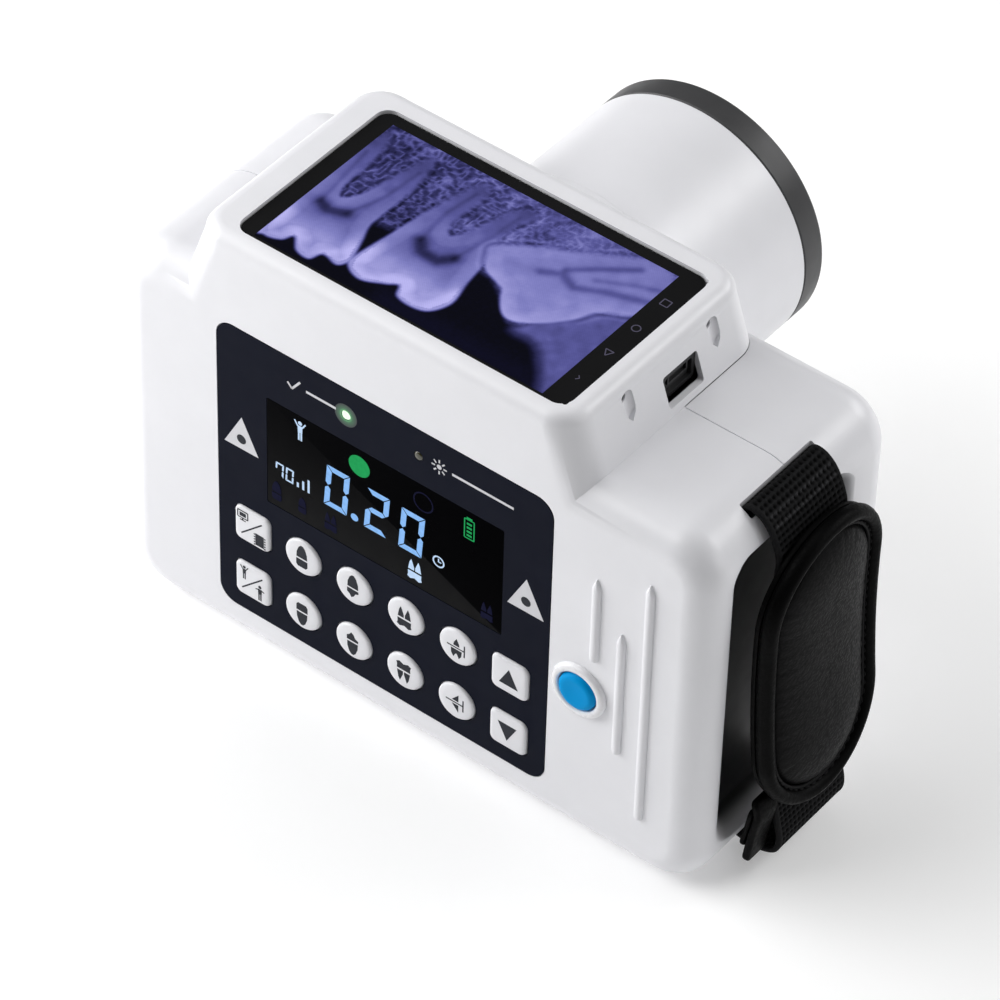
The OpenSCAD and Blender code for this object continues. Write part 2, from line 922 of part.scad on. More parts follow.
// a bowed form through outlines given as [inset, height over the pad's back];
// closed = true joins the last outline to the first and leaves the middle open
module pad_form(rows, closed = false) {
  m = len(rows);
  pad_n = 4 * arc_n + 2 * flat_n;
  points = [
    for (row = rows)
      for (q = pad_outline(row[0]))
        [pad_back(pad_z + q[1]) + row[1], strap_y + q[0], pad_z + q[1]]
  ];
  walls = [
    for (s = [0:closed ? m - 1 : m - 2])
      for (i = [0:pad_n - 1])
        let (j = (i + 1) % pad_n, a = s * pad_n, b = ((s + 1) % m) * pad_n)
        each [[b + j, b + i, a + i], [a + j, b + j, a + i]]
  ];
  top = (m - 1) * pad_n;
  last = pad_n - 1;
  caps = closed ? [] : [
    for (i = [0:pad_n / 2 - 2])
      each [
        [last - i, last - i - 1, i + 1, i],
        [top + i + 1, top + last - i - 1, top + last - i, top + i]
      ]
  ];
  polyhedron(points = points, faces = concat(walls, caps), convexity = 6);
}

module pad_backing() {
  color(dark)
    pad_form([[1.6, 0], [0.9, 0.5], [0.9, 1.5], [1.6, 2]]);
}

module pad_border() {
  color(dark)
    pad_form([
      [1.2, 2.02], [0.2, 2.9], [0, 4.2], [0.35, 5.7], [1.2, 6.8], [2.2, 7.2], [3.2, 6.8],
      [4.2, 5.7], [4.6, 4.2], [4.2, 2.02]
    ], closed = true);
}

module pad_cushion() {
  color(dark)
    pad_form([
      [6, 2.02], [5.8, 4.6], [6.4, 6.3], [8, 7.6], [10.5, 8.5], [14, 9.1], [19, 9.4], [24, 9.5]
    ]);
}

// a short leather tongue that hangs from behind the pad's lower end
module strap_tail() {
  color(dark)
    upright(tail_y0, tail_y1)
      polygon([
        [118.1, 42], [119.1, 35], [120.5, 30.5], [121.3, 26], [120.6, 21.5], [119.6, 16],
        [118.2, 10], [118.9, 8.4], [120.4, 7.5], [121.3, 8.6], [121.3, 14.6], [122.3, 20.5],
        [123.5, 23.8], [124.2, 27.2], [123, 30.2], [121.5, 34.5], [120.8, 42]
      ]);
}

front_shell();
rear_shell();
cone_tube();
cone_liner();
cone_end_ring();
screen_glass();
screen_panel();
screen_board();
port_socket();
control_panel();
display_window();
display_module();
ready_lamp();
exposure_lamp();
tooth_key_1();
tooth_key_2();
tooth_key_3();
tooth_key_4();
tooth_key_5();
tooth_key_6();
tooth_key_7();
tooth_key_8();
receptor_key();
patient_key();
up_key();
down_key();
key_switches();
keypad_board();
exposure_button();
button_bezel();
exposure_switch();
button_board();
main_board();
buzzer();
battery_cells();
battery_tray();
tube_head_case();
tube_head_lid();
xray_tube();
high_voltage_transformer();
lead_shield();
beam_filter();
shell_screws();
cone_screws();
strap_webbing();
strap_anchors();
pad_backing();
pad_border();
pad_cushion();
strap_tail();
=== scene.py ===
from math import cos, exp, hypot, pi, radians, sin, sqrt

import bmesh
import bpy
import numpy as np
from mathutils import Matrix, Vector


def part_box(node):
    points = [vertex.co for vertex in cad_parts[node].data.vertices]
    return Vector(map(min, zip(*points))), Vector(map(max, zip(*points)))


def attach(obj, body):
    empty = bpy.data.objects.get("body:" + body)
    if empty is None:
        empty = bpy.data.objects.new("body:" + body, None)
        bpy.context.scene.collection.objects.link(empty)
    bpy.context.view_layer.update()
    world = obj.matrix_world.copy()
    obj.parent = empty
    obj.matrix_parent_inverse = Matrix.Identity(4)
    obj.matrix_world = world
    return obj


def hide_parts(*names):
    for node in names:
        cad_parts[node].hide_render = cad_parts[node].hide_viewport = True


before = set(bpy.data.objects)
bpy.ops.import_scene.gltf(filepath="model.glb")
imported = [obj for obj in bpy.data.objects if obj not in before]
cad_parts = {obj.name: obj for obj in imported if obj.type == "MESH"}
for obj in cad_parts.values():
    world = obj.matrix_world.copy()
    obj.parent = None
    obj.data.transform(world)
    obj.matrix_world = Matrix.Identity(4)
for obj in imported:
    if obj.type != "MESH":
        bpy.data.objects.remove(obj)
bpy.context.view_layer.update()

# Lengths in the builders below are millimetres; MM turns them into the frame's metres.
MM = 0.001
scene = bpy.context.scene


def span(node):
    """Lowest and highest corner of a CAD node, in millimetres."""
    lo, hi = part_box(node)
    return np.array(lo) / MM, np.array(hi) / MM


# ---- camera
def make_camera():
    """The photograph's viewing angle: azimuth, elevation and a little roll."""
    az, el, roll = radians(36.983), radians(43.973), radians(1.729)
    back = Vector((sin(az) * cos(el), -cos(az) * cos(el), sin(el)))
    right = (-back).cross(Vector((0, 0, 1))).normalized()
    up = right.cross(-back)
    right, up = (cos(roll) * right + sin(roll) * up,
                 -sin(roll) * right + cos(roll) * up)
    data = bpy.data.cameras.new("camera")
    data.sensor_width = 36
    data.lens = 201.6
    data.clip_start, data.clip_end = 0.05, 20
    cam = bpy.data.objects.new("camera", data)
    scene.collection.objects.link(cam)
    cam.location = (0.7088, -0.9288, 1.1852)
    cam.rotation_mode = "QUATERNION"
    rot = np.array([right, up, back]).T
    cam.rotation_quaternion = Matrix(rot.tolist()).to_quaternion()
    scene.camera = cam


make_camera()


# ---- materials
class Nodes:
    """A small helper around one material's node tree."""

    def __init__(self, name):
        self.mat = bpy.data.materials.new(name)
        self.mat.use_nodes = True
        self.t = self.mat.node_tree
        self.bsdf = self.t.nodes["Principled BSDF"]
        self.coord = self.t.nodes.new("ShaderNodeTexCoord").outputs["Object"]

    def node(self, kind, **sockets):
        n = self.t.nodes.new("ShaderNode" + kind)
        for key, value in sockets.items():
            name = key.replace("_", " ")
            if hasattr(value, "is_output"):
                self.t.links.new(value, n.inputs[name])
            else:
                n.inputs[name].default_value = value
        return n

    def set(self, **sockets):
        """Constants on the shader's own sockets."""
        for key, value in sockets.items():
            self.bsdf.inputs[key.replace("_", " ")].default_value = value

    def link(self, a, b):
        self.t.links.new(a, b)

    def noise(self, scale, detail=3.0, rough=0.5):
        n = self.node("TexNoise", Scale=scale, Detail=detail, Roughness=rough, Vector=self.coord)
        return n.outputs["Fac"]

    def ramp(self, fac, stops):
        n = self.t.nodes.new("ShaderNodeValToRGB")
        self.link(fac, n.inputs["Fac"])
        el = n.color_ramp.elements
        while len(el) < len(stops):
            el.new(0.5)
        for e, (p, c) in zip(el, stops):
            e.position = p
            e.color = (*c, 1) if len(c) == 3 else c
        return n.outputs["Color"]

    def maths(self, op, a, b):
        n = self.t.nodes.new("ShaderNodeMath")
        n.operation = op
        for i, v in enumerate((a, b)):
            if hasattr(v, "is_output"):
                self.link(v, n.inputs[i])
            else:
                n.inputs[i].default_value = v
        return n.outputs[0]

    def mix(self, a, b, fac=1.0, blend="MIX"):
        n = self.node("MixRGB", Fac=fac, Color1=a, Color2=b)
        n.blend_type = blend
        return n.outputs["Color"]

    def attribute(self, name):
        n = self.node("Attribute")
        n.attribute_name = name
        return n.outputs["Color"]

    def bump(self, height, strength, distance_mm, normal=None):
        n = self.node("Bump", Strength=strength, Distance=distance_mm * MM)
        self.link(height, n.inputs["Height"])
        if normal is not None:
            self.link(normal, n.inputs["Normal"])
        return n.outputs["Normal"]


def shade(c, k):
    return tuple(min(1.0, v * k) for v in c)


def recess_shade_mask(m):
    """Mask of the painted shade: 1 deep inside the hand recess and 0 at its rim and elsewhere, by
    place in the frame (metres).
    """
    xyz = m.node("SeparateXYZ", Vector=m.coord)
    mask = 1.0
    for axis, nothing, full in (("X", 0.1140, 0.1080), ("X", 0.1040, 0.1050),
                                ("Y", -0.0337, -0.0330), ("Y", 0.0255, 0.0245),
                                ("Z", 0.0135, 0.0165), ("Z", 0.1225, 0.1190)):
        fade = m.node("MapRange", Value=xyz.outputs[axis], From_Min=nothing, From_Max=full)
        fade.interpolation_type = "SMOOTHSTEP"
        mask = m.maths("MULTIPLY", mask, fade.outputs["Result"])
    return mask


def finish_material(name, color, rough, metal=0.0, var=0.06, vscale=60.0, rvar=0.06,
                    grain=0.0, gscale=900.0, gdist=0.05, coat=0.0, coat_rough=0.1,
                    spec=0.5, recess_shade=None):
    """A moulded, painted or metal surface: mottled colour, uneven gloss, a fine grain, and painted
    shade darkening the hand recess when a shade colour is given.
    """
    m = Nodes(name)
    b = m.bsdf
    cloud = m.noise(vscale, 4.0, 0.55)
    tone = m.ramp(cloud, [(0.3, shade(color, 1 - var)), (0.7, shade(color, 1 + var))])
    # painted shade: the colour darkens to near black towards the floor of the hand recess
    if recess_shade:
        tone = m.mix(tone, (*recess_shade, 1), recess_shade_mask(m))
    m.link(tone, b.inputs["Base Color"])
    lo, hi = max(0.02, rough - rvar), min(1.0, rough + rvar)
    gloss = m.ramp(m.noise(vscale * 2.3, 3.0), [(0.3, (lo,) * 3), (0.7, (hi,) * 3)])
    m.link(gloss, b.inputs["Roughness"])
    m.set(Metallic=metal, Specular_IOR_Level=spec, Coat_Weight=coat, Coat_Roughness=coat_rough)
    if grain:
        m.link(m.bump(m.noise(gscale, 2.0), grain, gdist), b.inputs["Normal"])
    return m.mat


# white plastic, with a near-black painted shade deep in the hand recess
WHITE = finish_material("white_plastic", (0.80, 0.80, 0.83), 0.36, var=0.012, rvar=0.05,
                        grain=0.12, gscale=1500, gdist=0.03, coat=0.12, coat_rough=0.25,
                        recess_shade=(0.02, 0.02, 0.021))
BEZEL_WHITE = finish_material("bezel_white", (0.82, 0.82, 0.84), 0.28, var=0.01, grain=0.08,
                              coat=0.3, coat_rough=0.15)
RING = finish_material("ring_plastic", (0.056, 0.056, 0.058), 0.42, var=0.08, grain=0.35,
                       gscale=1800, gdist=0.04, spec=0.3)
GLASS = finish_material("cover_glass", (0.0105, 0.0105, 0.011), 0.2, var=0.1, rvar=0.03, spec=0.12)
FILM = finish_material("panel_film", (0.0052, 0.0066, 0.0145), 0.45, var=0.06, grain=0.2,
                       gscale=2400, gdist=0.02, spec=0.03)
WINDOW = finish_material("display_window", (0.0004, 0.0004, 0.0008), 0.3, var=0.1, rvar=0.03,
                         spec=0.01)
KEY = finish_material("key_plastic", (0.76, 0.76, 0.79), 0.38, var=0.015, grain=0.1,
                      gscale=1600, gdist=0.03)
INK = finish_material("key_ink", (0.018, 0.02, 0.028), 0.5, var=0.1, spec=0.15)
PRINT = finish_material("panel_print", (0.62, 0.62, 0.65), 0.45, var=0.03)
BLUE = finish_material("blue_button", (0.0005, 0.29, 0.66), 0.45, var=0.04, grain=0.1,
                       gscale=1500, gdist=0.03, spec=0.04)
STEEL = finish_material("screw_steel", (0.55, 0.55, 0.57), 0.32, metal=1.0, var=0.1, rvar=0.1)
DARK_HOLE = finish_material("dark_socket", (0.01, 0.01, 0.011), 0.5, var=0.1)
STITCH = finish_material("thread", (0.006, 0.006, 0.0065), 0.6, var=0.25, vscale=800, spec=0.08)


def leather(name, color, rough, grain, spec):
    """Pebbled leather: voronoi pebbles, wrinkle noise and worn, glossier tops."""
    m = Nodes(name)
    b = m.bsdf
    warped = m.mix(m.coord, m.noise(180.0, 3.0), 0.006)
    pebble = m.node("TexVoronoi", Scale=950.0, Randomness=1.0, Vector=warped).outputs["Distance"]
    tone = m.ramp(m.noise(90.0, 5.0), [(0.3, shade(color, 0.75)), (0.72, shade(color, 1.35))])
    m.link(tone, b.inputs["Base Color"])
    gloss = m.ramp(pebble, [(0.0, (rough - 0.1,) * 3), (0.8, (rough + 0.15,) * 3)])
    m.link(gloss, b.inputs["Roughness"])
    fine = m.bump(m.noise(2600.0, 2.0), 0.25, 0.05)
    m.link(m.bump(pebble, grain, -0.12, fine), b.inputs["Normal"])
    m.set(Specular_IOR_Level=spec)
    return m.mat


LEATHER = leather("pad_leather", (0.0038, 0.0038, 0.004), 0.4, 0.7, 0.05)
ROLL = leather("pad_roll_leather", (0.002, 0.002, 0.0021), 0.42, 0.4, 0.035)


def weave(name, color):
    """Ribbed synthetic webbing: the thread attribute (painted highlight on the ridges, painted
    shade in the pits) and fuzz over the modelled ribs.
    """
    m = Nodes(name)
    b = m.bsdf
    tone = m.ramp(m.noise(1500.0, 4.0, 0.7), [(0.3, shade(color, 0.7)), (0.75, shade(color, 1.5))])
    # the thread attribute multiplies in the weave's painted highlight and painted shade
    m.link(m.mix(tone, m.attribute("thread"), blend="MULTIPLY"), b.inputs["Base Color"])
    m.set(Roughness=0.6, Specular_IOR_Level=0.04)
    m.link(m.bump(m.noise(3200.0, 3.0, 0.7), 0.6, 0.12), b.inputs["Normal"])
    return m.mat


WEB = weave("webbing", (0.0075, 0.0075, 0.008))


def glow(name, color, strength=1.0):
    """A lit display element with slightly uneven light."""
    m = Nodes(name)
    m.set(Base_Color=(0, 0, 0, 1), Roughness=0.3, Specular_IOR_Level=0.03,
          Emission_Strength=strength)
    tone = m.ramp(m.noise(700.0, 2.0), [(0.3, shade(color, 0.9)), (0.7, shade(color, 1.05))])
    m.link(tone, m.bsdf.inputs["Emission Color"])
    return m.mat


LCD = glow("lcd_blue", (0.26, 0.51, 0.93))
LCD_PALE = glow("lcd_pale", (0.55, 0.72, 0.95))
LCD_GREEN = glow("lcd_green", (0.01, 0.34, 0.09))
LCD_GHOST = glow("lcd_ghost", (0.001, 0.0015, 0.02))
NAV = glow("nav_icons", (0.085, 0.08, 0.12))
LAMP_ON = glow("lamp_on", (0.75, 1.0, 0.75), 1.3)


# ---- mesh helpers
def piece(name, verts, faces, mat, body="housing", slot=None, stands_for=(), angle=32, smooth=True):
    """One visible piece: vertices in millimetres, its material, the body it rides on."""
    me = bpy.data.meshes.new(name)
    me.from_pydata((np.asarray(verts, float) * MM).tolist(), [], [list(map(int, f)) for f in faces])
    me.validate()
    tidy_normals(me)
    ob = bpy.data.objects.new(name, me)
    scene.collection.objects.link(ob)
    dress(ob, mat, body, slot, stands_for, angle, smooth)
    return ob


def tidy_normals(me):
    bm = bmesh.new()
    bm.from_mesh(me)
    bmesh.ops.recalc_face_normals(bm, faces=bm.faces)
    bm.to_mesh(me)
    bm.free()


def dress(ob, mat, body, slot, stands_for=(), angle=32, smooth=True):
    if mat:
        ob.data.materials.clear()
        ob.data.materials.append(mat)
    if smooth:
        ob.data.shade_smooth()
        ob.data.set_sharp_from_angle(angle=radians(angle))
    if stands_for:
        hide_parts(*stands_for)
    if body:
        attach(ob, body)


def scratch(verts, faces):
    """A throw-away mesh object for booleans."""
    me = bpy.data.meshes.new("tool")
    me.from_pydata((np.asarray(verts, float) * MM).tolist(), [], [list(map(int, f)) for f in faces])
    tidy_normals(me)
    ob = bpy.data.objects.new("tool", me)
    scene.collection.objects.link(ob)
    return ob


def boolean(target, tool, op):
    mod = target.modifiers.new("b", "BOOLEAN")
    mod.operation = op
    mod.object = tool
    mod.solver = "MANIFOLD"
    dg = bpy.context.evaluated_depsgraph_get()
    new = bpy.data.meshes.new_from_object(target.evaluated_get(dg))
    if len(new.polygons) == 0:
        raise RuntimeError(f"{op} left nothing of {target.name}")
    old = target.data
    target.modifiers.remove(mod)
    target.data = new
    bpy.data.meshes.remove(old)
    bpy.data.objects.remove(tool)
    return target


def cut(target, tool):
    return boolean(target, tool, "DIFFERENCE")


def add(target, tool):
    return boolean(target, tool, "UNION")


def keep(target, tool):
    return boolean(target, tool, "INTERSECT")


def rr_loop(a0, a1, b0, b1, r, n):
    """A loop of arcs of radius r about the four centres (a0..a1, b0..b1)."""
    pts = []
    for ca, cb, start in ((a1, b1, 0), (a0, b1, 90), (a0, b0, 180), (a1, b0, 270)):
        for i in range(n + 1):
            t = radians(start + 90 * i / n)
            pts.append((ca + r * cos(t), cb + r * sin(t)))
    return pts


def place(axis, t, p):
    return {"x": (t, p[0], p[1]), "y": (p[0], t, p[1]), "z": (p[0], p[1], t)}[axis]


def ring_faces(m, k, closed=False):
    """Faces along m rings of k points each, capped at both ends or closed on themselves."""
    faces = []
    for s in range(m if closed else m - 1):
        a, b = s * k, (s + 1) % m * k
        faces += [(a + i, a + (i + 1) % k, b + (i + 1) % k, b + i) for i in range(k)]
    return faces if closed else faces + [range(k), range((m - 1) * k, m * k)]


def loft(axis, stations, n=12):
    """Vertices and faces of a closed body through rounded-rectangle stations."""
    verts = [place(axis, t, p) for t, box, r in stations for p in rr_loop(*box, r, n)]
    return verts, ring_faces(len(stations), 4 * (n + 1))


def lathe(axis, centre, profile, n=64):
    """A closed solid of revolution; profile is a closed ring of (radius, place) points."""
    verts, faces, rings = [], [], []
    for r, t in profile:
        if r < 1e-6:
            rings.append([len(verts)])
            verts.append(place(axis, t, centre))
        else:
            rings.append(list(range(len(verts), len(verts) + n)))
            for i in range(n):
                a = 2 * pi * i / n
                spot = (centre[0] + r * cos(a), centre[1] + r * sin(a))
                verts.append(place(axis, t, spot))
    for s in range(len(rings)):
        a, b = rings[s], rings[(s + 1) % len(rings)]
        if len(a) == 1 and len(b) == 1:
            continue
        for i in range(n):
            j = (i + 1) % n
            if len(a) == 1:
                faces.append((a[0], b[j], b[i]))
            elif len(b) == 1:
                faces.append((a[i], a[j], b[0]))
            else:
                faces.append((a[i], a[j], b[j], b[i]))
    return verts, faces


def slab(lo, hi):
    x0, y0, z0 = lo
    x1, y1, z1 = hi
    v = [(x, y, z) for x in (x0, x1) for y in (y0, y1) for z in (z0, z1)]
    f = [(0, 1, 3, 2), (4, 6, 7, 5), (0, 4, 5, 1), (2, 3, 7, 6), (0, 2, 6, 4), (1, 5, 7, 3)]
    return v, f


def prism(polys, place3, t0, t1):
    """Closed thin prisms; each polygon is a list of (a, b) in millimetres."""
    verts, faces = [], []
    for poly in polys:
        k, s = len(poly), len(verts)
        verts += [place3(a, b, t0) for a, b in poly] + [place3(a, b, t1) for a, b in poly]
        faces.append([s + i for i in range(k)])
        faces.append([s + k + i for i in reversed(range(k))])
        for i in range(k):
            j = (i + 1) % k
            faces.append((s + i, s + k + i, s + k + j, s + j))
    return verts, faces


def arc(n, start=0.0, stop=90.0):
    return [radians(start + (stop - start) * i / n) for i in range(n + 1)]


# ---- housing shells
# the body's left, right and top, its front and rear face and the seam between the shells
BL, BR, BT = -98.0, 114.0, 135.0
FY, RY, SEAM = -43.0, 45.0, 2.0
# radius of its corners, of the front and the rear edge, and the wall
CR, FER, RER, WALL = 16.0, 10.0, 13.0, 3.0
ROUND = 14      # steps of a quarter turn in the large corners
RECESS = 6.5    # depth of the hand recess
# the screen housing's top, its left, right and rear edge there, its sides' slope, its rim
PT, PL, PR, PRY, SLOPE = 155.8, -69.5, 65.0, 39.0, 0.33
RIM_R, RIM_E = 10.5, 4.8
# the cone's axis and radius, and where its end ring starts and stops
BEAM_Z, CONE_R, RING_Y0, RING_Y1 = 98.3, 42.0, 101.3, 110.7


def body_form(inset):
    """The rounded body, drawn in by an inset."""
    rc, rf, rr = CR - inset, FER - inset, RER - inset
    y0, y1 = FY + inset, RY - inset
    box = (BL + CR, BR - CR, CR, BT - CR)
    st = [(y0 + rf - rf * cos(a), box, rc - rf + rf * sin(a)) for a in arc(10)]
    st += [(y1 - rr + rr * sin(a), box, rc - rr + rr * cos(a)) for a in arc(10)]
    return scratch(*loft("y", st, ROUND))


def pod_form(inset, z0, z1):
    """The screen housing on top, with sloping sides and a rounded rim."""
    r = RIM_R - inset
    e = max(RIM_E - inset, 1.0)
    low = SLOPE * (z1 - e - z0)
    shift = SLOPE * (PT - z1)
    xl, xr = PL + RIM_R - shift, PR - RIM_R + shift
    yb = (FY + RIM_R, PRY - RIM_R)
    st = [(z0, (xl - low, xr + low, *yb), r), (z0 + 1, (xl - low, xr + low, *yb), r)]
    st += [(z1 - e + e * sin(a), (xl, xr, *yb), r - e + e * cos(a)) for a in arc(10)]
    return scratch(*loft("z", st, ROUND))


# the hand recess: corner centres (y0, y1, z0, z1), corner radius at the face, and the rim as
# (way in, depth)
RECESS_BOX, RECESS_R = (-23.7, 14, 22.5, 117), 10.0
RIM = [(0, 0), (0.3, 0.02), (0.6, 0.08), (1.1, 0.26), (1.6, 0.5), (2.2, 0.93), (2.8, 1.5),
       (3.4, 2.22), (4, 3), (4.6, 3.8), (5.2, 4.5), (5.9, 5.18), (6.6, 5.7), (7.3, 6.06), (8, 6.3),
       (9, RECESS)]


def recess_form(extra):
    """What the hand recess takes out of the right side, and `extra` round it for the wall."""
    st = [(BR - extra - deep, RECESS_BOX, RECESS_R + extra - way) for way, deep in reversed(RIM)]
    st.append((BR + 20, RECESS_BOX, RECESS_R + extra))
    return scratch(*loft("x", st, ROUND))


def upright(loop_box, r, y0, y1, n=8):
    return scratch(*loft("y", [(y0, loop_box, r), (y1, loop_box, r)], n))


def flat_plate(loop_box, r, z0, z1, n=8):
    return scratch(*loft("z", [(z0, loop_box, r), (z1, loop_box, r)], n))


def rod(x, z, r, y0, y1, n=48):
    return scratch(*lathe("y", (x, z), [(0, y0), (r, y0), (r, y1), (0, y1)], n))


def centred(cx, cz, w, h, r):
    return (cx - w / 2 + r, cx + w / 2 - r, cz - h / 2 + r, cz + h / 2 - r)


def hollow():
    """The space inside the shells."""
    return cut(body_form(WALL), recess_form(WALL))


def seam_groove():
    """The fine groove round the body where the shells meet."""
    ring = scratch(*slab((-150, SEAM - 0.2, -10), (150, SEAM + 0.2, BT + 0.3)))
    cut(ring, body_form(0.5))
    return cut(ring, pod_form(-0.3, 120, PT))


def strap_slots(target):
    """Where the webbing passes through the shells, at the top and low on the right side."""
    across, low = (-17.9, 13.9), (4.9, 8.7)
    cut(target, flat_plate((104.9, 107.9, *across), 0.7, 127.6, 142, 4))
    cut(target, scratch(*loft("x", [(x, (*across, *low), 0.7) for x in (104, 124)], 4)))


SCREWS = [(-86, 14), (-86, 68), (-86, 121), (90, 121), (92, 68), (90, 14)]
# keys: spacing, both rows' heights, round key's radius, square key's side and place, gap round them
PITCH, KEY_TOP, KEY_LOW, KEY_R, KEY_SIDE, KEY_SX, GAP = 19.0, 49.5, 27.2, 6.55, 13.1, 47.4, 0.35
PANEL_W, PANEL_H, PANEL_Z = 120.6, 110.4, 69.4
WIN_X, WIN_Z, WIN_W, WIN_H = 0.8, 84.1, 85.5, 40.7
BTN_X, BTN_Z, BTN_R, BEZ_R = 71.6, 60.2, 6.5, 9.4
# ribs (x, foot, tip), then the cover glass: centre, length, width, corner radius and top
RIBS = [(76.1, 74.3, 106.2), (85.2, 43.3, 90.7), (94.1, 22.2, 115.3)]
GL_Y, GL_L, GL_W, GL_R, GL_TOP = -3.7, 116.0, 67.2, 4.3, 155.0
LAMP_X, LAMP_Z = 13, 114.7
PORT = (-2.6, 11.0, 138.4, 146.0)
FILM_Y = FY - 0.1             # face of the panel film
POCKET_Y = FILM_Y + 0.9       # floor of the film's pocket
FLANGE_Y = -39.6              # front of the key caps' flanges
OUT, IN = FY - 3, FY + 5      # how far a tool through the front wall reaches


def rib_form(x, z0, z1):
    """A raised rib with a rounded crown, pointed at its top."""
    w, h = 1.5, 1.3     # half its width, and its height
    verts = []
    prof = [(-w, 0.5), (-w, -0.35), (-0.72 * w, -0.95), (-0.3 * w, -h), (0.3 * w, -h),
            (0.72 * w, -0.95), (w, -0.35), (w, 0.5)]
    rows = [(z0, 0.25), (z0 + 0.5, 0.75), (z0 + 1.4, 1.0), (z1 - 3.4, 1.0), (z1 - 2.2, 0.72),
            (z1 - 1.0, 0.38), (z1, 0.08)]
    for z, k in rows:
        verts += [(x + px * k, FY + (py * (0.45 + 0.55 * k) if py < 0 else py), z)
                  for px, py in prof]
    return scratch(verts, ring_faces(len(rows), len(prof)))


def weighted(ob):
    mod = ob.modifiers.new("normals", "WEIGHTED_NORMAL")
    mod.mode = "FACE_AREA"
    mod.weight = 80
    mod.keep_sharp = True


def key_openings(ob, lamp_r, y0, y1, n):
    """Openings for the lamps and keys, from y0 to y1."""
    side = KEY_SIDE + 2 * GAP
    for x in (-LAMP_X, LAMP_X):
        cut(ob, rod(x, LAMP_Z, lamp_r, y0, y1, n))
    for z in (KEY_TOP, KEY_LOW):
        for i in range(4):
            cut(ob, rod((i - 1.5) * PITCH, z, KEY_R + GAP, y0, y1))
        for x in (-KEY_SX, KEY_SX):
            cut(ob, upright(centred(x, z, side, side, 2.65), 2.65, y0, y1))


def finished(ob, name, mat, slot, stands_for, angle):
    """A cut body on the housing gets its name and material; its slot is not used."""
    ob.name = ob.data.name = name
    dress(ob, mat, "housing", slot, stands_for, angle)


def build_front_shell():
    ob = body_form(0)
    keep(ob, scratch(*slab((-150, -100, -10), (150, SEAM, 200))))
    add(ob, pod_form(0, 120, PT))
    cut(ob, hollow())
    cut(ob, pod_form(WALL, 121, PT - 5))
    cut(ob, recess_form(0))
    behind = keep(body_form(-0.25), scratch(*slab((-150, SEAM, -10), (150, 100, 200))))
    cut(ob, behind)
    cut(ob, seam_groove())
    for rib in RIBS:
        add(ob, rib_form(*rib))
    strap_slots(ob)
    cut(ob, upright(centred(0, PANEL_Z, PANEL_W + 0.5, PANEL_H + 0.5, 6.2), 6.2, OUT, POCKET_Y, 10))
    cut(ob, upright(centred(WIN_X, WIN_Z, WIN_W + 1, WIN_H + 1, 0.5), 0.5, OUT, IN, 3))
    key_openings(ob, 2.0, OUT, IN, 24)
    cut(ob, rod(BTN_X, BTN_Z, 8.4, OUT, IN))
    # ledge and opening for the screen
    cut(ob, flat_plate(centred(0, GL_Y, GL_L + 0.5, GL_W + 0.5, GL_R + 0.25), GL_R + 0.25,
                       GL_TOP - 1.6, GL_TOP + 4, 10))
    cut(ob, flat_plate(centred(0.55, GL_Y, GL_L - 1.3, GL_W - 1.8, 0.8), 0.8, PT - 8, PT, 4))
    # socket opening with a bevelled mouth, and the tapering slots beside it
    cut(ob, scratch(*loft("x", [(60, PORT, 1.0), (80, PORT, 1.0)], 6)))
    for y in (-18.3, 20.3):
        cut(ob, slot_form(y))
        cut(ob, slot_hole(y))
    finished(ob, "front_shell_moulding", WHITE, "white_plastic", ["front_shell"], 30)
    weighted(ob)


def build_port_mouth():
    """The socket's black moulded mouth, set back behind the bevelled opening."""
    inner = (-1.0, 9.4, 140.0, 144.4)
    ob = scratch(*loft("x", [(64.2, PORT, 0.85), (66.1, PORT, 0.85)], 6))
    cut(ob, scratch(*loft("x", [(64.9, inner, 0.8), (70, inner, 1.4)], 6)))
    finished(ob, "port_mouth_moulding", DARK_HOLE, "black_plastic", (), 35)


def slot_form(y):
    """An arched groove in the sloping side that runs out to a point at its lower end."""
    r, top = 2.6, 149.6
    verts = []
    ring = [(r * cos(t), r * sin(t)) for t in arc(24, 0, 345)]
    for z in (139, 156):
        x = PR + SLOPE * (PT - z) - 0.5
        verts += [(x + a, y + b, z) for a, b in ring]
    shaft = scratch(verts, ring_faces(2, len(ring)))
    arch = [(y + r * cos(t), top + r * sin(t)) for t in arc(16, 0, 180)]
    arch += [(y - r, 147.2), (y - 0.68 * r, 144.8), (y, 142.8), (y + 0.68 * r, 144.8),
             (y + r, 147.2)]
    return keep(shaft, scratch(*prism([arch], lambda a, b, t: (t, a, b), PR - 6, PR + 8)))


def slot_hole(y):
    """The opening at the top of a groove, towards the control face."""
    bore = [(0, PR - 8), (1.6, PR - 8), (1.6, PR + 4), (0, PR + 4)]
    return scratch(*lathe("x", (y - 0.8, 150.0), bore, 20))


def build_rear_shell():
    ob = body_form(0)
    keep(ob, scratch(*slab((-150, SEAM + 0.02, -10), (150, 100, 200))))
    foot = CONE_R + 5
    collar = [(0, PRY + 0.5), (foot, PRY + 0.5), (foot, RY + 2.8), (foot - 0.35, RY + 3.6),
              (foot - 1.2, RY + 4), (0, RY + 4)]
    add(ob, scratch(*lathe("y", (0, BEAM_Z), collar, 96)))
    cut(ob, hollow())
    cut(ob, recess_form(0))
    cut(ob, pod_form(-0.05, 120, PT))
    cut(ob, seam_groove())
    strap_slots(ob)
    for x, z in SCREWS:
        cut(ob, rod(x, z, 3.2, RY - 6, RY + 5, 32))
    cut(ob, rod(0, BEAM_Z, 24, SEAM, RY + 6, 64))
    cut(ob, rod(0, BEAM_Z, CONE_R - 0.95, RY, RY + 6, 96))
    finished(ob, "rear_shell_moulding", WHITE, "white_plastic", ["rear_shell"], 30)
    weighted(ob)


build_front_shell()
build_rear_shell()
build_port_mouth()


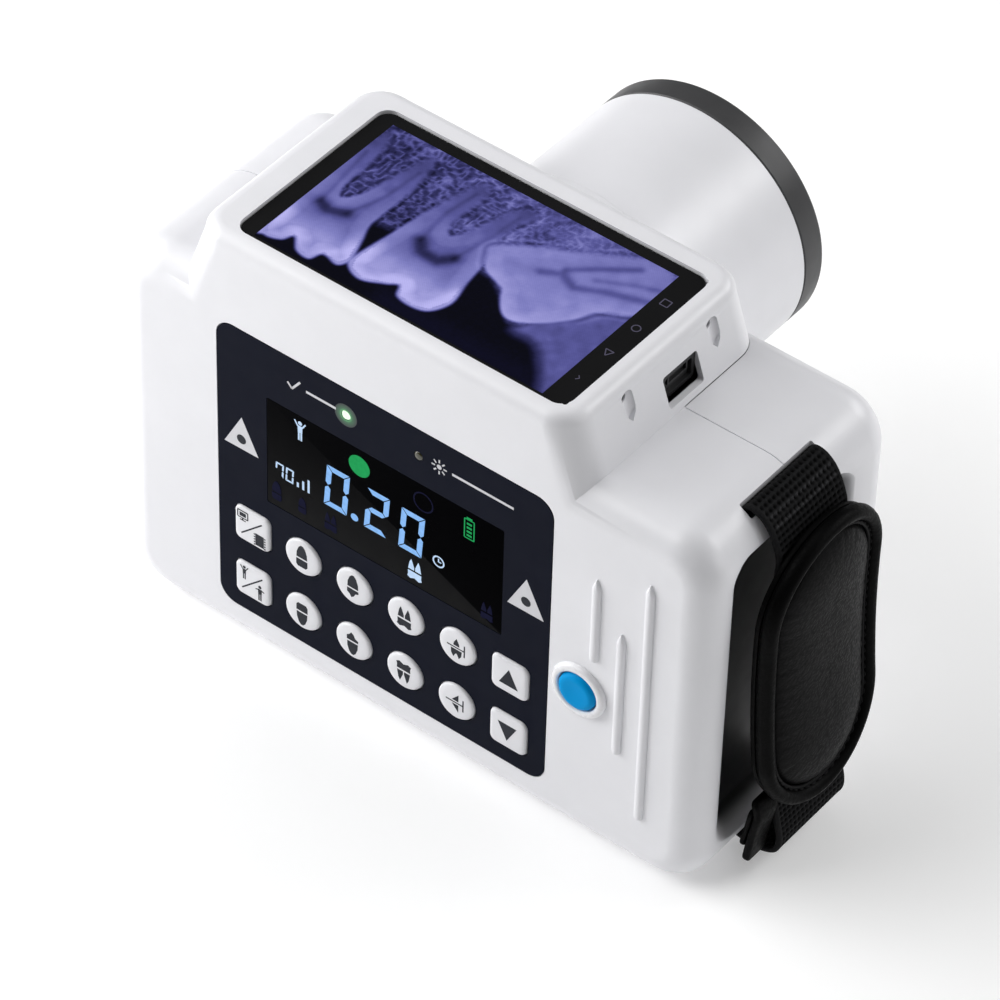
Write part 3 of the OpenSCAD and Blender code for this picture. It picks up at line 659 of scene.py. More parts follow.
# ---- cone
def build_cone():
    c = (0, BEAM_Z)
    r = CONE_R
    tube = [(r - 1, RY), (r - 1, RY + 4), (r - 0.1, RY + 4), (r, RY + 4.15), (r, RING_Y0 - 0.45),
            (r - 0.35, RING_Y0 - 0.12), (r - 0.35, RING_Y0), (r - 3, RING_Y0), (r - 3, RY + 4),
            (22, RY + 4), (22, RY)]
    piece("cone_tube_turned", *lathe("y", c, tube, 160), WHITE, slot="white_plastic",
          stands_for=["cone_tube"], angle=28)
    e = 1.4
    lip = [(r - e + e * sin(a), RING_Y1 - e + e * cos(a)) for a in arc(6)]
    ring = [(r - 4, RING_Y0 + 0.02), (r - 0.35, RING_Y0 + 0.02), (r - 0.35, RING_Y0 + 0.15),
            (r, RING_Y0 + 0.45)] + lip[::-1]
    ring += [(r - 4 + e - e * sin(a), RING_Y1 - e + e * cos(a)) for a in arc(6)]
    piece("cone_end_ring_moulding", *lathe("y", c, ring, 160), RING, slot="ring_plastic",
          stands_for=["cone_end_ring"], angle=28)


build_cone()


# ---- flat graphics
def decal(name, polys, mat, body, y, slot, thick=0.05):
    """Print on a face that looks towards -Y, standing `thick` in front of y."""
    v, f = prism(polys, lambda a, b, t: (a, t, b), y - thick, y + 0.02)
    piece(name, v, f, mat, body, slot, smooth=False)


def circle(cx, cz, r, n=32):
    return [(cx + r * cos(2 * pi * i / n), cz + r * sin(2 * pi * i / n))
            for i in range(n)]


def stroke(a, b, w):
    """A straight line of width w from a to b."""
    (x0, z0), (x1, z1) = a, b
    d = hypot(x1 - x0, z1 - z0)
    nx, nz = -(z1 - z0) / d * w / 2, (x1 - x0) / d * w / 2
    return [(x0 + nx, z0 + nz), (x1 + nx, z1 + nz), (x1 - nx, z1 - nz), (x0 - nx, z0 - nz)]


def path(pts, w, close=False):
    pairs = list(zip(pts, pts[1:] + (pts[:1] if close else [])))
    return [stroke(a, b, w) for a, b in (pairs if close else pairs[:len(pts) - 1])]


def at(polys, x, z, k=1.0):
    return [[(x + a * k, z + b * k) for a, b in p] for p in polys]


def flip(polys):
    return [[(a, -b) for a, b in p][::-1] for p in polys]


# key glyphs about their own centre, roots upwards
ROOT = [(-2.0, 0.0), (-1.9, 2.0), (-1.2, 4.0), (-0.4, 4.9), (0.4, 4.9), (1.2, 4.0), (1.9, 2.0),
        (2.0, 0.0)]
CROWN = [(-2.1, -0.6), (2.1, -0.6), (2.1, -2.8), (1.5, -3.6), (-1.5, -3.6), (-2.1, -2.8)]
CUT_CROWN = [(-2.1, -0.6), (2.1, -0.6), (2.1, -1.5), (1.0, -2.0), (0.4, -3.2), (-0.5, -3.9),
             (-1.2, -2.8), (-2.1, -2.2)]
M_ROOTS = [[(-2.4, -0.2), (-1.9, 2.6), (-1.3, 3.9), (-0.8, 2.6), (-0.2, 0.9), (-0.2, -0.2)],
           [(0.2, -0.2), (0.2, 0.9), (0.8, 2.6), (1.3, 3.9), (1.9, 2.6), (2.4, -0.2)]]
M_CROWN = [(-2.5, -0.9), (2.5, -0.9), (2.4, -2.4), (2.7, -3.3), (1.6, -3.9), (0.0, -3.2),
           (-1.6, -3.9), (-2.7, -3.3), (-2.4, -2.4)]
HOLDER = [stroke((-3.4, 0.1), (2.9, 0.1), 0.45), stroke((2.9, -2.2), (2.9, 2.4), 0.45)]
BITE_A = HOLDER + [[(-1.1, 0.8), (-0.9, 2.0), (0, 3.6), (0.9, 2.0), (1.1, 0.8)],
                   [(-2.0, -0.6), (2.0, -0.6), (1.8, -2.6), (1.0, -3.9), (0.4, -2.6), (0, -2.2),
                    (-0.4, -2.6), (-1.0, -3.9), (-1.8, -2.6)]]
BITE_B = HOLDER + [[(-1.2, 0.8), (1.2, 0.8), (1.2, 3.6)], [(-1.2, -0.6), (1.2, -0.6), (1.2, -3.4)]]
TRI = [[(-3.4, -3.2), (3.4, -3.2), (0.0, 3.3)]]
TOOTH, CUT_TOOTH, MOLAR = [ROOT, CROWN], [ROOT, CUT_CROWN], M_ROOTS + [M_CROWN]


def figure(x, z, k, arms_up):
    """A plain pictogram of a standing figure."""
    reach = 1.9 if arms_up else -0.4
    body = [circle(0, 3.4, 0.75, 14), [(-0.9, 2.4), (0.9, 2.4), (0.8, -0.2), (-0.8, -0.2)],
            stroke((-0.45, -0.1), (-0.45, -3.2), 0.6), stroke((0.45, -0.1), (0.45, -3.2), 0.6),
            stroke((-0.8, 2.0), (-2.0, 2.0 + reach), 0.5),
            stroke((0.8, 2.0), (2.0, 2.0 + reach), 0.5)]
    return at(body, x, z, k)


def key_art():
    slash = [stroke((-3.9, -3.6), (3.9, 4.0), 0.5)]
    monitor = path([(-5.2, 5.3), (-1.4, 5.3), (-1.4, 2.6), (-5.2, 2.6)], 0.4, True)
    monitor += [[(-4.5, 4.7), (-2.1, 4.7), (-2.1, 3.2), (-4.5, 3.2)],
                stroke((-4.4, 1.7), (-2.2, 1.7), 0.4), stroke((-3.3, 2.6), (-3.3, 1.7), 0.5)]
    film = [[(1.4, -0.6), (4.6, -0.6), (4.6, -5.2), (1.4, -5.2)]]
    film += [[(x, z), (x + 0.5, z), (x + 0.5, z - 0.5), (x, z - 0.5)] for x in (0.8, 4.7)
             for z in (-0.9, -1.9, -2.9, -3.9, -4.9)]
    people = figure(-3.0, 2.6, 0.72, True) + figure(2.9, -2.4, 0.82, False)
    return {
        "tooth_key_1": TOOTH, "tooth_key_2": CUT_TOOTH, "tooth_key_3": MOLAR, "tooth_key_4": BITE_A,
        "tooth_key_5": flip(TOOTH), "tooth_key_6": flip(CUT_TOOTH), "tooth_key_7": flip(MOLAR),
        "tooth_key_8": BITE_B,
        "receptor_key": slash + monitor + film, "patient_key": slash + people,
        "up_key": TRI, "down_key": flip(TRI),
    }


# a cap's rounded edge as (way in, way back)
CAP_EDGE = [(0.9, 0.1), (0.4, 0.28), (0.12, 0.6), (0, 1.1)]


def build_keys():
    for node, polys in key_art().items():
        lo, hi = span(node)
        cx, cz = (lo[0] + hi[0]) / 2, (lo[2] + hi[2]) / 2
        face, flange = lo[1], FLANGE_Y
        if node.startswith("tooth"):
            prof = [(0, face + 0.02), (KEY_R * 0.6, face + 0.03)]
            prof += [(KEY_R - inset, face + y) for inset, y in CAP_EDGE]
            prof += [(KEY_R, flange), (KEY_R + 1.4, flange), (KEY_R + 1.4, flange + 1),
                     (2, flange + 1), (2, flange + 1.6), (0, flange + 1.6)]
            v, f = lathe("y", (cx, cz), prof, 56)
        else:
            st = []
            for inset, y in [(1.6, 0.02)] + CAP_EDGE:
                w = KEY_SIDE - 2 * inset
                st.append((face + y, centred(cx, cz, w, w, 2.3 - inset * 0.8), 2.3 - inset * 0.8))
            st.append((flange, centred(cx, cz, KEY_SIDE, KEY_SIDE, 2.3), 2.3))
            wide = KEY_SIDE + 2.8
            st += [(y, centred(cx, cz, wide, wide, 2.3), 2.3) for y in (flange, flange + 1)]
            v, f = loft("y", st, 8)
        piece(node + "_cap", v, f, KEY, node, "key_plastic", [node], 40)
        decal(node + "_mark", at(polys, cx, cz), INK, node, face + 0.03, "key_plastic", 0.04)


build_keys()


# ---- panel film and display
def build_panel():
    through = (FILM_Y - 2, POCKET_Y + 2)
    ob = upright(centred(0, PANEL_Z, PANEL_W, PANEL_H, 6), 6, FILM_Y, POCKET_Y, 12)
    cut(ob, upright(centred(WIN_X, WIN_Z, WIN_W + 0.2, WIN_H + 0.2, 0.6), 0.6, *through, 4))
    key_openings(ob, 1.65, *through, 28)
    bev = ob.modifiers.new("edge", "BEVEL")
    bev.width = 0.12 * MM
    bev.segments = 2
    bev.limit_method = "ANGLE"
    bev.angle_limit = radians(50)
    finished(ob, "control_panel_film", FILM, "panel_film", ["control_panel"], 30)
    weighted(ob)
    win = [(FILM_Y + 0.02, centred(WIN_X, WIN_Z, WIN_W - 0.3, WIN_H - 0.3, 0.5), 0.5)]
    win += [(y, centred(WIN_X, WIN_Z, WIN_W, WIN_H, 0.5), 0.5) for y in (FILM_Y + 0.12, POCKET_Y)]
    piece("display_window_pane", *loft("y", win, 4), WINDOW, "housing", "display_window",
          ["display_window"])


build_panel()

SEG = {"0": "abcdef", "2": "abged", "7": "abcf"}


def digit(ch, x, z, w, h, t, slant, gap):
    """One seven-segment digit with its lower left corner at (x, z)."""
    g = gap / 2
    half, m = h / 2, t / 2
    shapes = {
        "a": [(g, h), (w - g, h), (w - t - g, h - t), (t + g, h - t)],
        "d": [(t + g, t), (w - t - g, t), (w - g, 0), (g, 0)],
        "g": [(m + g, half), (t + g, half + m), (w - t - g, half + m), (w - m - g, half),
              (w - t - g, half - m), (t + g, half - m)],
        "f": [(0, h - g), (t, h - t - g), (t, half + m + g), (m, half + g), (0, half + m + g)],
        "b": [(w, h - g), (w, half + m + g), (w - m, half + g), (w - t, half + m + g),
              (w - t, h - t - g)],
        "e": [(0, g), (0, half - m - g), (m, half - g), (t, half - m - g), (t, t + g)],
        "c": [(w, g), (w - t, t + g), (w - t, half - m - g), (w - m, half - g), (w, half - m - g)],
    }
    return [[(x + a + slant * b / h, z + b) for a, b in shapes[s]] for s in SEG[ch]]


def build_display():
    y = FILM_Y + 0.03
    big = []
    for ch, x, w in (("0", -21.0, 8.4), ("2", -6.3, 8.2), ("0", 6.2, 8.4)):
        big += digit(ch, x, 75.8, w, 15.9, 1.9, 1.2, 0.45)
    big.append(circle(-9.7, 77.0, 1.35, 24))
    decal("display_digits", big, LCD, "housing", y, "lamp_lit")
    small = digit("7", -39.0, 76.2, 3.0, 5.3, 0.6, 0.3, 0.15)
    small += digit("0", -35.2, 76.2, 2.9, 5.3, 0.6, 0.3, 0.15)
    # three rising bars for the unit of the high voltage, a small dial for the seconds
    small += [stroke((-30.6 + 2.0 * i, 76.2), (-30.6 + 2.0 * i, 78.0 + 1.6 * i), 0.75)
              for i in range(3)]
    small += path(circle(20.8, 78.4, 1.9, 20), 0.5, True)
    small += [stroke((20.8, 78.3), (20.8, 79.6), 0.4), stroke((20.8, 78.4), (21.8, 78.4), 0.4)]
    small += figure(-29.7, 98.2, 1.0, True)
    small += at(MOLAR, 12.3, 69.6, 0.98)
    decal("display_symbols", small, LCD_PALE, "housing", y, "lamp_lit")
    battery = path([(29.7, 101.2), (33.1, 101.2), (33.1, 94.0), (29.7, 94.0)], 0.4, True)
    battery += [stroke((30.4, 101.7), (32.4, 101.7), 0.7)]
    battery += [stroke((30.5, z), (32.3, z), 0.75) for z in (99.6, 98.1, 96.6, 95.2)]
    battery += [circle(-8.1, 98.0, 3.8, 48)]
    decal("display_green", battery, LCD_GREEN, "housing", y, "lamp_lit")
    ghost = at(TOOTH, -38.5, 69.3, 0.85) + at(TOOTH, -29.0, 69.3, 0.7)
    ghost += at(MOLAR, -18.5, 69.6, 0.9) + at(MOLAR, 38.3, 69.6, 0.85)
    ghost += path(circle(15.0, 98.0, 3.4, 24), 0.5, True)
    decal("display_ghosts", ghost, LCD_GHOST, "housing", y, "lamp_off")
    # a tick and a bar beside the ready lamp, a sun of short rays and a bar beside the exposure lamp
    marks = path([(-34.2, 115.2), (-32.6, 113.4), (-29.6, 117.4)], 0.7)
    marks += [stroke((-27.4, 115.2), (-16.6, 115.2), 0.9)]
    for i in range(8):
        a = pi / 4 * i
        marks.append(stroke((20.4 + 1.5 * cos(a), 115.0 + 1.5 * sin(a)),
                            (20.4 + 2.7 * cos(a), 115.0 + 2.7 * sin(a)), 0.5))
    marks += [circle(20.4, 115.0, 0.85, 16), stroke((25.0, 115.0), (46.6, 115.0), 0.9)]
    decal("panel_marks", marks, PRINT, "housing", FILM_Y, "panel_film", 0.03)
    signs = [[(-57.9, 78.5), (-45.2, 78.7), (-51.4, 91.0)],
             [(45.4, 78.3), (58.3, 78.4), (51.9, 91.0)]]
    decal("panel_signs", signs, PRINT, "housing", FILM_Y, "panel_film", 0.03)
    dots = [circle(-51.5, 82.4, 1.7, 28), circle(51.9, 82.3, 1.7, 28)]
    decal("panel_sign_dots", dots, INK, "housing", FY - 0.13, "panel_film", 0.02)


build_display()


def build_lamps():
    y0, seat, back = FY - 0.4, -39.0, -36.8
    for node, mat in (("ready_lamp", LAMP_ON), ("exposure_lamp", None)):
        lo, hi = span(node)
        cx = (lo[0] + hi[0]) / 2
        prof = [(0, y0), (0.8, y0 + 0.05), (1.25, y0 + 0.2), (1.5, y0 + 0.45), (1.6, y0 + 0.8),
                (1.6, seat), (2.4, seat), (2.4, back), (0, back)]
        if mat is None:
            mat = finish_material("lamp_unlit", (0.03, 0.028, 0.008), 0.25, coat=0.5)
        piece(node + "_lens", *lathe("y", (cx, LAMP_Z), prof, 40), mat, "housing",
              "lamp_lit" if node == "ready_lamp" else "lamp_off", [node], 40)
    # painted glow: the ready lamp's green light painted as emission on a ring of film round it
    halo = Nodes("ready_halo")
    geo = halo.node("Mapping", Vector=halo.coord, Location=(LAMP_X, 0, -LAMP_Z),
                    Scale=(1 / MM, 0, 1 / MM))
    length = halo.t.nodes.new("ShaderNodeVectorMath")
    length.operation = "LENGTH"
    halo.link(geo.outputs["Vector"], length.inputs[0])
    fac = halo.maths("DIVIDE", length.outputs["Value"], 4.0)
    tone = halo.ramp(fac, [(0.36, (0.10, 0.42, 0.14)), (0.6, (0.015, 0.10, 0.03)),
                           (1.0, (0.0, 0.0, 0.0))])
    halo.link(tone, halo.bsdf.inputs["Emission Color"])
    halo.set(Emission_Strength=1.0, Base_Color=(0.0125, 0.0155, 0.024, 1), Roughness=0.45)
    ring = [(1.66, FY - 0.12), (4.0, FY - 0.12), (4.0, FY - 0.09), (1.66, FY - 0.09)]
    piece("ready_lamp_halo", *lathe("y", (-LAMP_X, LAMP_Z), ring, 48), halo.mat, "housing",
          "panel_film")


build_lamps()


# ---- exposure button
def build_button():
    c = (BTN_X, BTN_Z)
    face, seat = -45.5, -39.2
    prof = [(0, face + 0.28), (2.2, face + 0.22), (3.8, face + 0.06), (4.6, face),
            (5.3, face + 0.12), (5.9, face + 0.5), (6.3, face + 1.1), (BTN_R, face + 2.0),
            (BTN_R, seat), (7.6, seat), (7.6, seat + 1), (2, seat + 1), (2, seat + 1.6),
            (0, seat + 1.6)]
    piece("exposure_button_cap", *lathe("y", c, prof, 72), BLUE, "exposure_button", "blue_plastic",
          ["exposure_button"], 40)
    bore = BTN_R + 0.3
    top = FY - 1.8
    ring = [(bore, top + 0.7), (bore + 0.2, top + 0.25), (bore + 0.6, top), (BEZ_R - 1.4, top),
            (BEZ_R - 0.7, top + 0.18), (BEZ_R - 0.2, top + 0.6), (BEZ_R, top + 1.2),
            (BEZ_R, FY - 0.01), (8.38, FY - 0.01), (8.38, FLANGE_Y), (bore, FLANGE_Y)]
    piece("button_bezel_ring", *lathe("y", c, ring, 72), BEZEL_WHITE, "housing", "white_plastic",
          ["button_bezel"], 40)


build_button()


# ---- touch screen
def build_glass():
    top = GL_TOP
    st = [(top - 1.6, centred(0, GL_Y, GL_L - 0.4, GL_W - 0.4, GL_R), GL_R),
          (top - 1.4, centred(0, GL_Y, GL_L, GL_W, GL_R), GL_R),
          (top - 0.5, centred(0, GL_Y, GL_L, GL_W, GL_R), GL_R),
          (top - 0.15, centred(0, GL_Y, GL_L - 0.25, GL_W - 0.25, GL_R), GL_R),
          (top, centred(0, GL_Y, GL_L - 0.9, GL_W - 0.9, GL_R), GL_R)]
    ob = piece("screen_cover_glass", *loft("z", st, 12), GLASS, "housing", "screen_glass",
               ["screen_glass"])
    weighted(ob)
    z = top + 0.02
    icons = path([(52.2, 15.8), (54.8, 15.8), (54.8, 13.2), (52.2, 13.2)], 0.35, True)
    icons += path(circle(53.4, 1.1, 1.3, 20), 0.35, True)
    icons += path([(52.0, -10.6), (54.7, -10.6), (53.35, -13.0)], 0.35, True)
    icons += path([(52.9, -23.9), (53.7, -24.8), (52.9, -25.7)], 0.3)
    v, f = prism(icons, lambda a, b, t: (a, b, t), z - 0.03, z + 0.01)
    piece("screen_icons", v, f, NAV, "housing", "screen_light", smooth=False)


build_glass()


# ---- the picture on the screen
def seg_dist(px, py, ax, ay, bx, by):
    dx, dy = bx - ax, by - ay
    t = np.clip(((px - ax) * dx + (py - ay) * dy) / (dx * dx + dy * dy), 0, 1)
    return np.hypot(px - ax - t * dx, py - ay - t * dy)


def inside_depth(px, py, poly):
    """Distance to the outline, positive inside."""
    d = np.full(px.shape, 1e9)
    odd = np.zeros(px.shape, bool)
    for (ax, ay), (bx, by) in zip(poly, poly[1:] + poly[:1]):
        d = np.minimum(d, seg_dist(px, py, ax, ay, bx, by))
        hit = (ay > py) != (by > py)
        odd ^= hit & (px < (bx - ax) * (py - ay) / ((by - ay) or 1e-9) + ax)
    return np.where(odd, d, -d)


def smooth_noise(px, py, scale, seed):
    """Value noise on a grid, seeded."""
    grid = np.random.default_rng(seed).random((64, 64))
    u, v = px / scale, py / scale
    i, j = np.floor(u).astype(int), np.floor(v).astype(int)
    fu, fv = u - i, v - j
    fu, fv = fu * fu * (3 - 2 * fu), fv * fv * (3 - 2 * fv)

    def g(a, b):
        return grid[a % 64, b % 64]

    return ((g(i, j) * (1 - fu) + g(i + 1, j) * fu) * (1 - fv)
            + (g(i, j + 1) * (1 - fu) + g(i + 1, j + 1) * fu) * fv)


def step(d, w):
    return np.clip(d / w + 0.5, 0, 1)


def catmull(a, b, c, d, n):
    """n points of a Catmull-Rom curve from b on towards c."""
    return [0.5 * (2 * b + (c - a) * t + (2 * a - 5 * b + 4 * c - d) * t * t
                   + (3 * b - a - 3 * c + d) * t ** 3)
            for t in np.linspace(0, 1, n, endpoint=False)]


def rounded(poly):
    """A closed curve through the outline's corners."""
    p = np.array(poly, float)
    out = []
    for i in range(len(p)):
        out += [tuple(q) for q in catmull(*(p[(i + j) % len(p)] for j in (-1, 0, 1, 2)), 5)]
    return out


def lattice(x, y, scale, seed):
    """Bright threads between dark cells, as in spongy bone."""
    u = x + 0.8 * smooth_noise(x, y, 2.1, seed + 1)
    w = y + 0.8 * smooth_noise(x, y, 2.1, seed + 2)
    return (1 - np.abs(2 * smooth_noise(u, w, scale, seed) - 1)) ** 2


def radiograph(x, y):
    """Brightness of a made-up dental film: two upper molars and a tilted third."""
    # spongy bone: coarse cells between the roots, finer and paler towards the top right
    pale_side = np.clip((x + 22) / 45, 0, 1)
    bone = 0.17 + 0.24 * pale_side + (0.30 - 0.14 * pale_side) * lattice(x, y, 1.5, 3)
    bone += 0.10 * lattice(x, y, 0.8, 17) + 0.2 * (smooth_noise(x, y, 5.0, 5) - 0.5)
    roof = [(-53, 28), (50, 28), (50, 4), (38, -4), (27, -19.5), (14, -10), (5, -7.5), (-22, -9.5),
            (-30, -10.5), (-53, -12)]
    v = bone * step(inside_depth(x, y, rounded(roof)), 3.0)
    tissue = [(27, -20), (38, -2), (51, 4), (51, -37), (44, -30), (36, -22)]
    v = np.maximum(v, (0.42 + 0.1 * smooth_noise(x, y, 2.5, 12))
                   * step(inside_depth(x, y, rounded(tissue)), 5.0))
    haze = [(-10, -31), (40, -31), (48, -37), (-10, -37)]
    v = np.maximum(v, 0.05 * step(inside_depth(x, y, haze), 9.0))

    def tooth(v, outline, tops, level, pale=0.12, fade=0.3):
        d = inside_depth(x, y, rounded(outline))
        depth = np.clip(d / 5.0, 0, 1)
        root = np.clip((y + 6) / 26, 0, 1)
        soft = 1.1 + 2.2 * root
        body = level * (1 - fade * root) + pale * (1 - root) * np.sqrt(np.clip(1 - depth, 0, 1))
        body = body + 0.08 * (smooth_noise(x, y, 3.2, 21) - 0.5)
        # the enamel over the crown, with a soft inner edge
        edge = 4.2 - 1.8 * smooth_noise(x, y, 3.0, 41)
        enamel = np.clip((-14 - y) / 7, 0, 1) * (1 - step(d - edge, 3.0))
        body = body + 0.16 * enamel
        for canal, width, dark in tops:
            near = np.full(x.shape, 1e9)
            for a, b in zip(canal, canal[1:]):
                near = np.minimum(near, seg_dist(x, y, *a, *b))
            body = body - dark * np.exp(-(near / width) ** 2)
        rim = -0.07 * np.exp(-((d + 0.8) / 0.7) ** 2) + 0.07 * np.exp(-((d + 2.1) / 0.7) ** 2)
        return v * (1 - step(d, soft)) + body * step(d, soft) + rim * np.clip((y + 9) / 3, 0, 1)

    first = [(-53, -30), (-50, -34), (-45, -32.6), (-43, -29.4), (-39, -33.4), (-34, -34),
             (-32, -30), (-26.5, -31), (-24.6, -27), (-27, -19), (-29.8, -11), (-29.6, 2),
             (-30.5, 14), (-32.6, 20.5), (-35.4, 19.5), (-37.6, 10), (-40, -3), (-43.6, -8),
             (-46, -3), (-46.5, 12), (-48.5, 20.6), (-51.5, 20.5), (-53, 12)]
    v = tooth(v, first, [([(-47, -13), (-43, -14.6), (-38, -12.6)], 2.2, 0.30),
                         ([(-47, -13), (-50.5, 12)], 0.8, 0.08),
                         ([(-38, -12.6), (-34, 0), (-33, 14)], 0.8, 0.08)], 0.52)
    second = [(-25, -25), (-23.4, -29.6), (-17.6, -31.6), (-11, -28.6), (-7.8, -26.8),
              (-5.6, -30.4), (0, -31.4), (5.4, -29.6), (8.2, -23), (6.4, -14), (5.2, -6.6),
              (2.2, 4), (1.6, 12), (4, 20), (0, 21.4), (-3.6, 15), (-6.6, 4), (-10, -1.4),
              (-12.6, 4), (-12, 14), (-13.4, 21.6), (-17, 20.6), (-19.8, 10), (-21.6, 0),
              (-23, -10)]
    v = tooth(v, second, [([(-15, -8), (-12, -11.6), (-6, -12), (-3, -8.4)], 2.3, 0.34),
                          ([(-15, -8), (-16.5, 6), (-15, 17)], 0.9, 0.08),
                          ([(-3, -8.4), (-0.4, 6), (0.6, 17)], 0.9, 0.08)], 0.55)
    third = [(2.2, 3), (3, -1), (6.4, -6), (12, -8.4), (15, -9.6), (17, -13), (21, -17.4),
             (25.2, -18.2), (32, -14), (38, -7), (42, 0), (51, 6), (51, 20), (44, 27), (35, 24),
             (24, 17), (10, 9.4)]
    v = tooth(v, third, [([(19, 3), (24, 6), (30, 3.4), (38, 7.4), (51, 12)], 1.7, 0.22),
                         ([(24, 8), (31, 14), (40, 21)], 1.3, 0.18),
                         ([(33, 9.6), (44, 15.4), (51, 18)], 1.2, 0.12),
                         ([(10, 1.4), (17, 2.4)], 2.2, 0.06)], 0.72, pale=0.08, fade=0.12)
    glowing = 0.28 * np.exp(-((y + 24) / 7) ** 2) * (inside_depth(x, y, second) > 1.0)
    glowing += 0.26 * np.exp(-((y + 25) / 6) ** 2) * (inside_depth(x, y, first) > 1.0)
    return np.clip(v + glowing + 0.03 * (smooth_noise(x, y, 0.45, 33) - 0.5), 0, 1)


def paint(ob, name, colours):
    """A colour attribute from one colour or grey per vertex."""
    att = ob.data.color_attributes.new(name, "FLOAT_COLOR", "POINT")
    rgba = np.ones((len(colours), 4), np.float32)
    rgba[:, :3] = colours
    att.data.foreach_set("color", rgba.ravel())


def build_picture():
    x0, x1, y0, y1 = -52.0, 49.6, -35.9, 25.6
    nx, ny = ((255, 155))
    xs, ys = np.linspace(x0, x1, nx), np.linspace(y0, y1, ny)
    gx, gy = np.meshgrid(xs, ys)
    z = GL_TOP + 0.03
    top = np.stack([gx, gy, np.full(gx.shape, z)], -1).reshape(-1, 3)
    faces = [(j * nx + i, j * nx + i + 1, (j + 1) * nx + i + 1, (j + 1) * nx + i)
             for j in range(ny - 1) for i in range(nx - 1)]
    rim = (list(range(nx)) + [j * nx + nx - 1 for j in range(1, ny)]
           + [(ny - 1) * nx + i for i in reversed(range(nx - 1))]
           + [j * nx for j in reversed(range(1, ny - 1))])
    base = len(top)
    low = top[rim] - np.array([0, 0, 0.12])
    k = len(rim)
    faces += [(rim[i], base + i, base + (i + 1) % k, rim[(i + 1) % k]) for i in range(k)]
    faces.append([base + i for i in reversed(range(k))])
    v = radiograph(gx, gy).ravel()
    stops = np.array([0.0, 0.1, 0.3, 0.5, 0.7, 1.0])
    tones = np.array([[0.0002, 0.0002, 0.002], [0.004, 0.004, 0.022], [0.032, 0.032, 0.125],
                      [0.10, 0.10, 0.33], [0.22, 0.22, 0.55], [0.50, 0.48, 0.90]])
    rgb = np.stack([np.interp(v, stops, tones[:, c]) for c in range(3)], -1)
    m = Nodes("screen_picture")
    pixels = m.node("TexChecker", Scale=1 / (0.42 * MM), Vector=m.coord)
    fine = m.ramp(pixels.outputs["Fac"], [(0.0, (0.93,) * 3), (1.0, (1.0,) * 3)])
    m.link(m.mix(m.attribute("picture"), fine, blend="MULTIPLY"), m.bsdf.inputs["Emission Color"])
    m.set(Emission_Strength=1.0, Base_Color=(0.004, 0.004, 0.006, 1), Roughness=0.15,
          Specular_IOR_Level=0.04)
    ob = piece("screen_picture", np.vstack([top, low]), faces, m.mat, "housing", "screen_light",
               smooth=False)
    paint(ob, "picture", np.vstack([rgb, np.zeros((k, 3))]))


build_picture()


# ---- hand strap
# the webbing's edges and thickness; the pad's centre, length, width, and its back's lean and bow
WEB_Y0, WEB_Y1, WEB_T = -18.0, 14.0, 2.0
PAD_Y, PAD_Z, PAD_L, PAD_W = -2.0, 75.8, 102.0, 53.0
PAD_X, PAD_LEAN, PAD_BOW = 118.2, 2.1, 3.25


def pad_back(z):
    """How far out the pad's back stands at height z: a lean plus a bow."""
    t = 2 * (z - PAD_Z) / PAD_L
    return PAD_X - PAD_LEAN * t + PAD_BOW * t * t


WEB_PATH = [(97.6, 124.5), (98.7, 127.3), (101.5, 128.5), (104.2, 129.1), (105.3, 130.6),
            (105.6, 132.3), (107.1, 133.5), (109.3, 133.3), (111.5, 132.1), (113.5, 130.1),
            (115.2, 127.3), (116.6, 123.9)]
WEB_PATH += [(pad_back(z) - WEB_T / 2 - 0.04, z) for z in np.arange(119, 25, -9.4)]
WEB_PATH += [(124, 19), (124.9, 14.5), (124.9, 11), (123.6, 8.2), (120.5, 6.4), (116.6, 5.7),
             (112.6, 6.2), (108, 6.9), (104.6, 7), (101.5, 7), (98.7, 8.2), (97.6, 11)]


def smooth_path(pts, step_mm):
    """Catmull-Rom through the points, resampled at equal steps."""
    p = np.array(pts, float)
    p = np.vstack([2 * p[0] - p[1], p, 2 * p[-1] - p[-2]])
    out = []
    for i in range(1, len(p) - 2):
        out += catmull(*p[i - 1:i + 3], 24)
    out.append(p[-2])
    out = np.array(out)
    s = np.concatenate([[0], np.cumsum(np.linalg.norm(np.diff(out, axis=0), axis=1))])
    u = np.linspace(0, s[-1], int(s[-1] / step_mm) + 1)
    return np.stack([np.interp(u, s, out[:, 0]), np.interp(u, s, out[:, 1])], -1), u


def normals(line):
    """Unit normals of a line in (x, z)."""
    d = np.gradient(line, axis=0)
    d /= np.linalg.norm(d, axis=1)[:, None]
    return np.stack([-d[:, 1], d[:, 0]], -1)


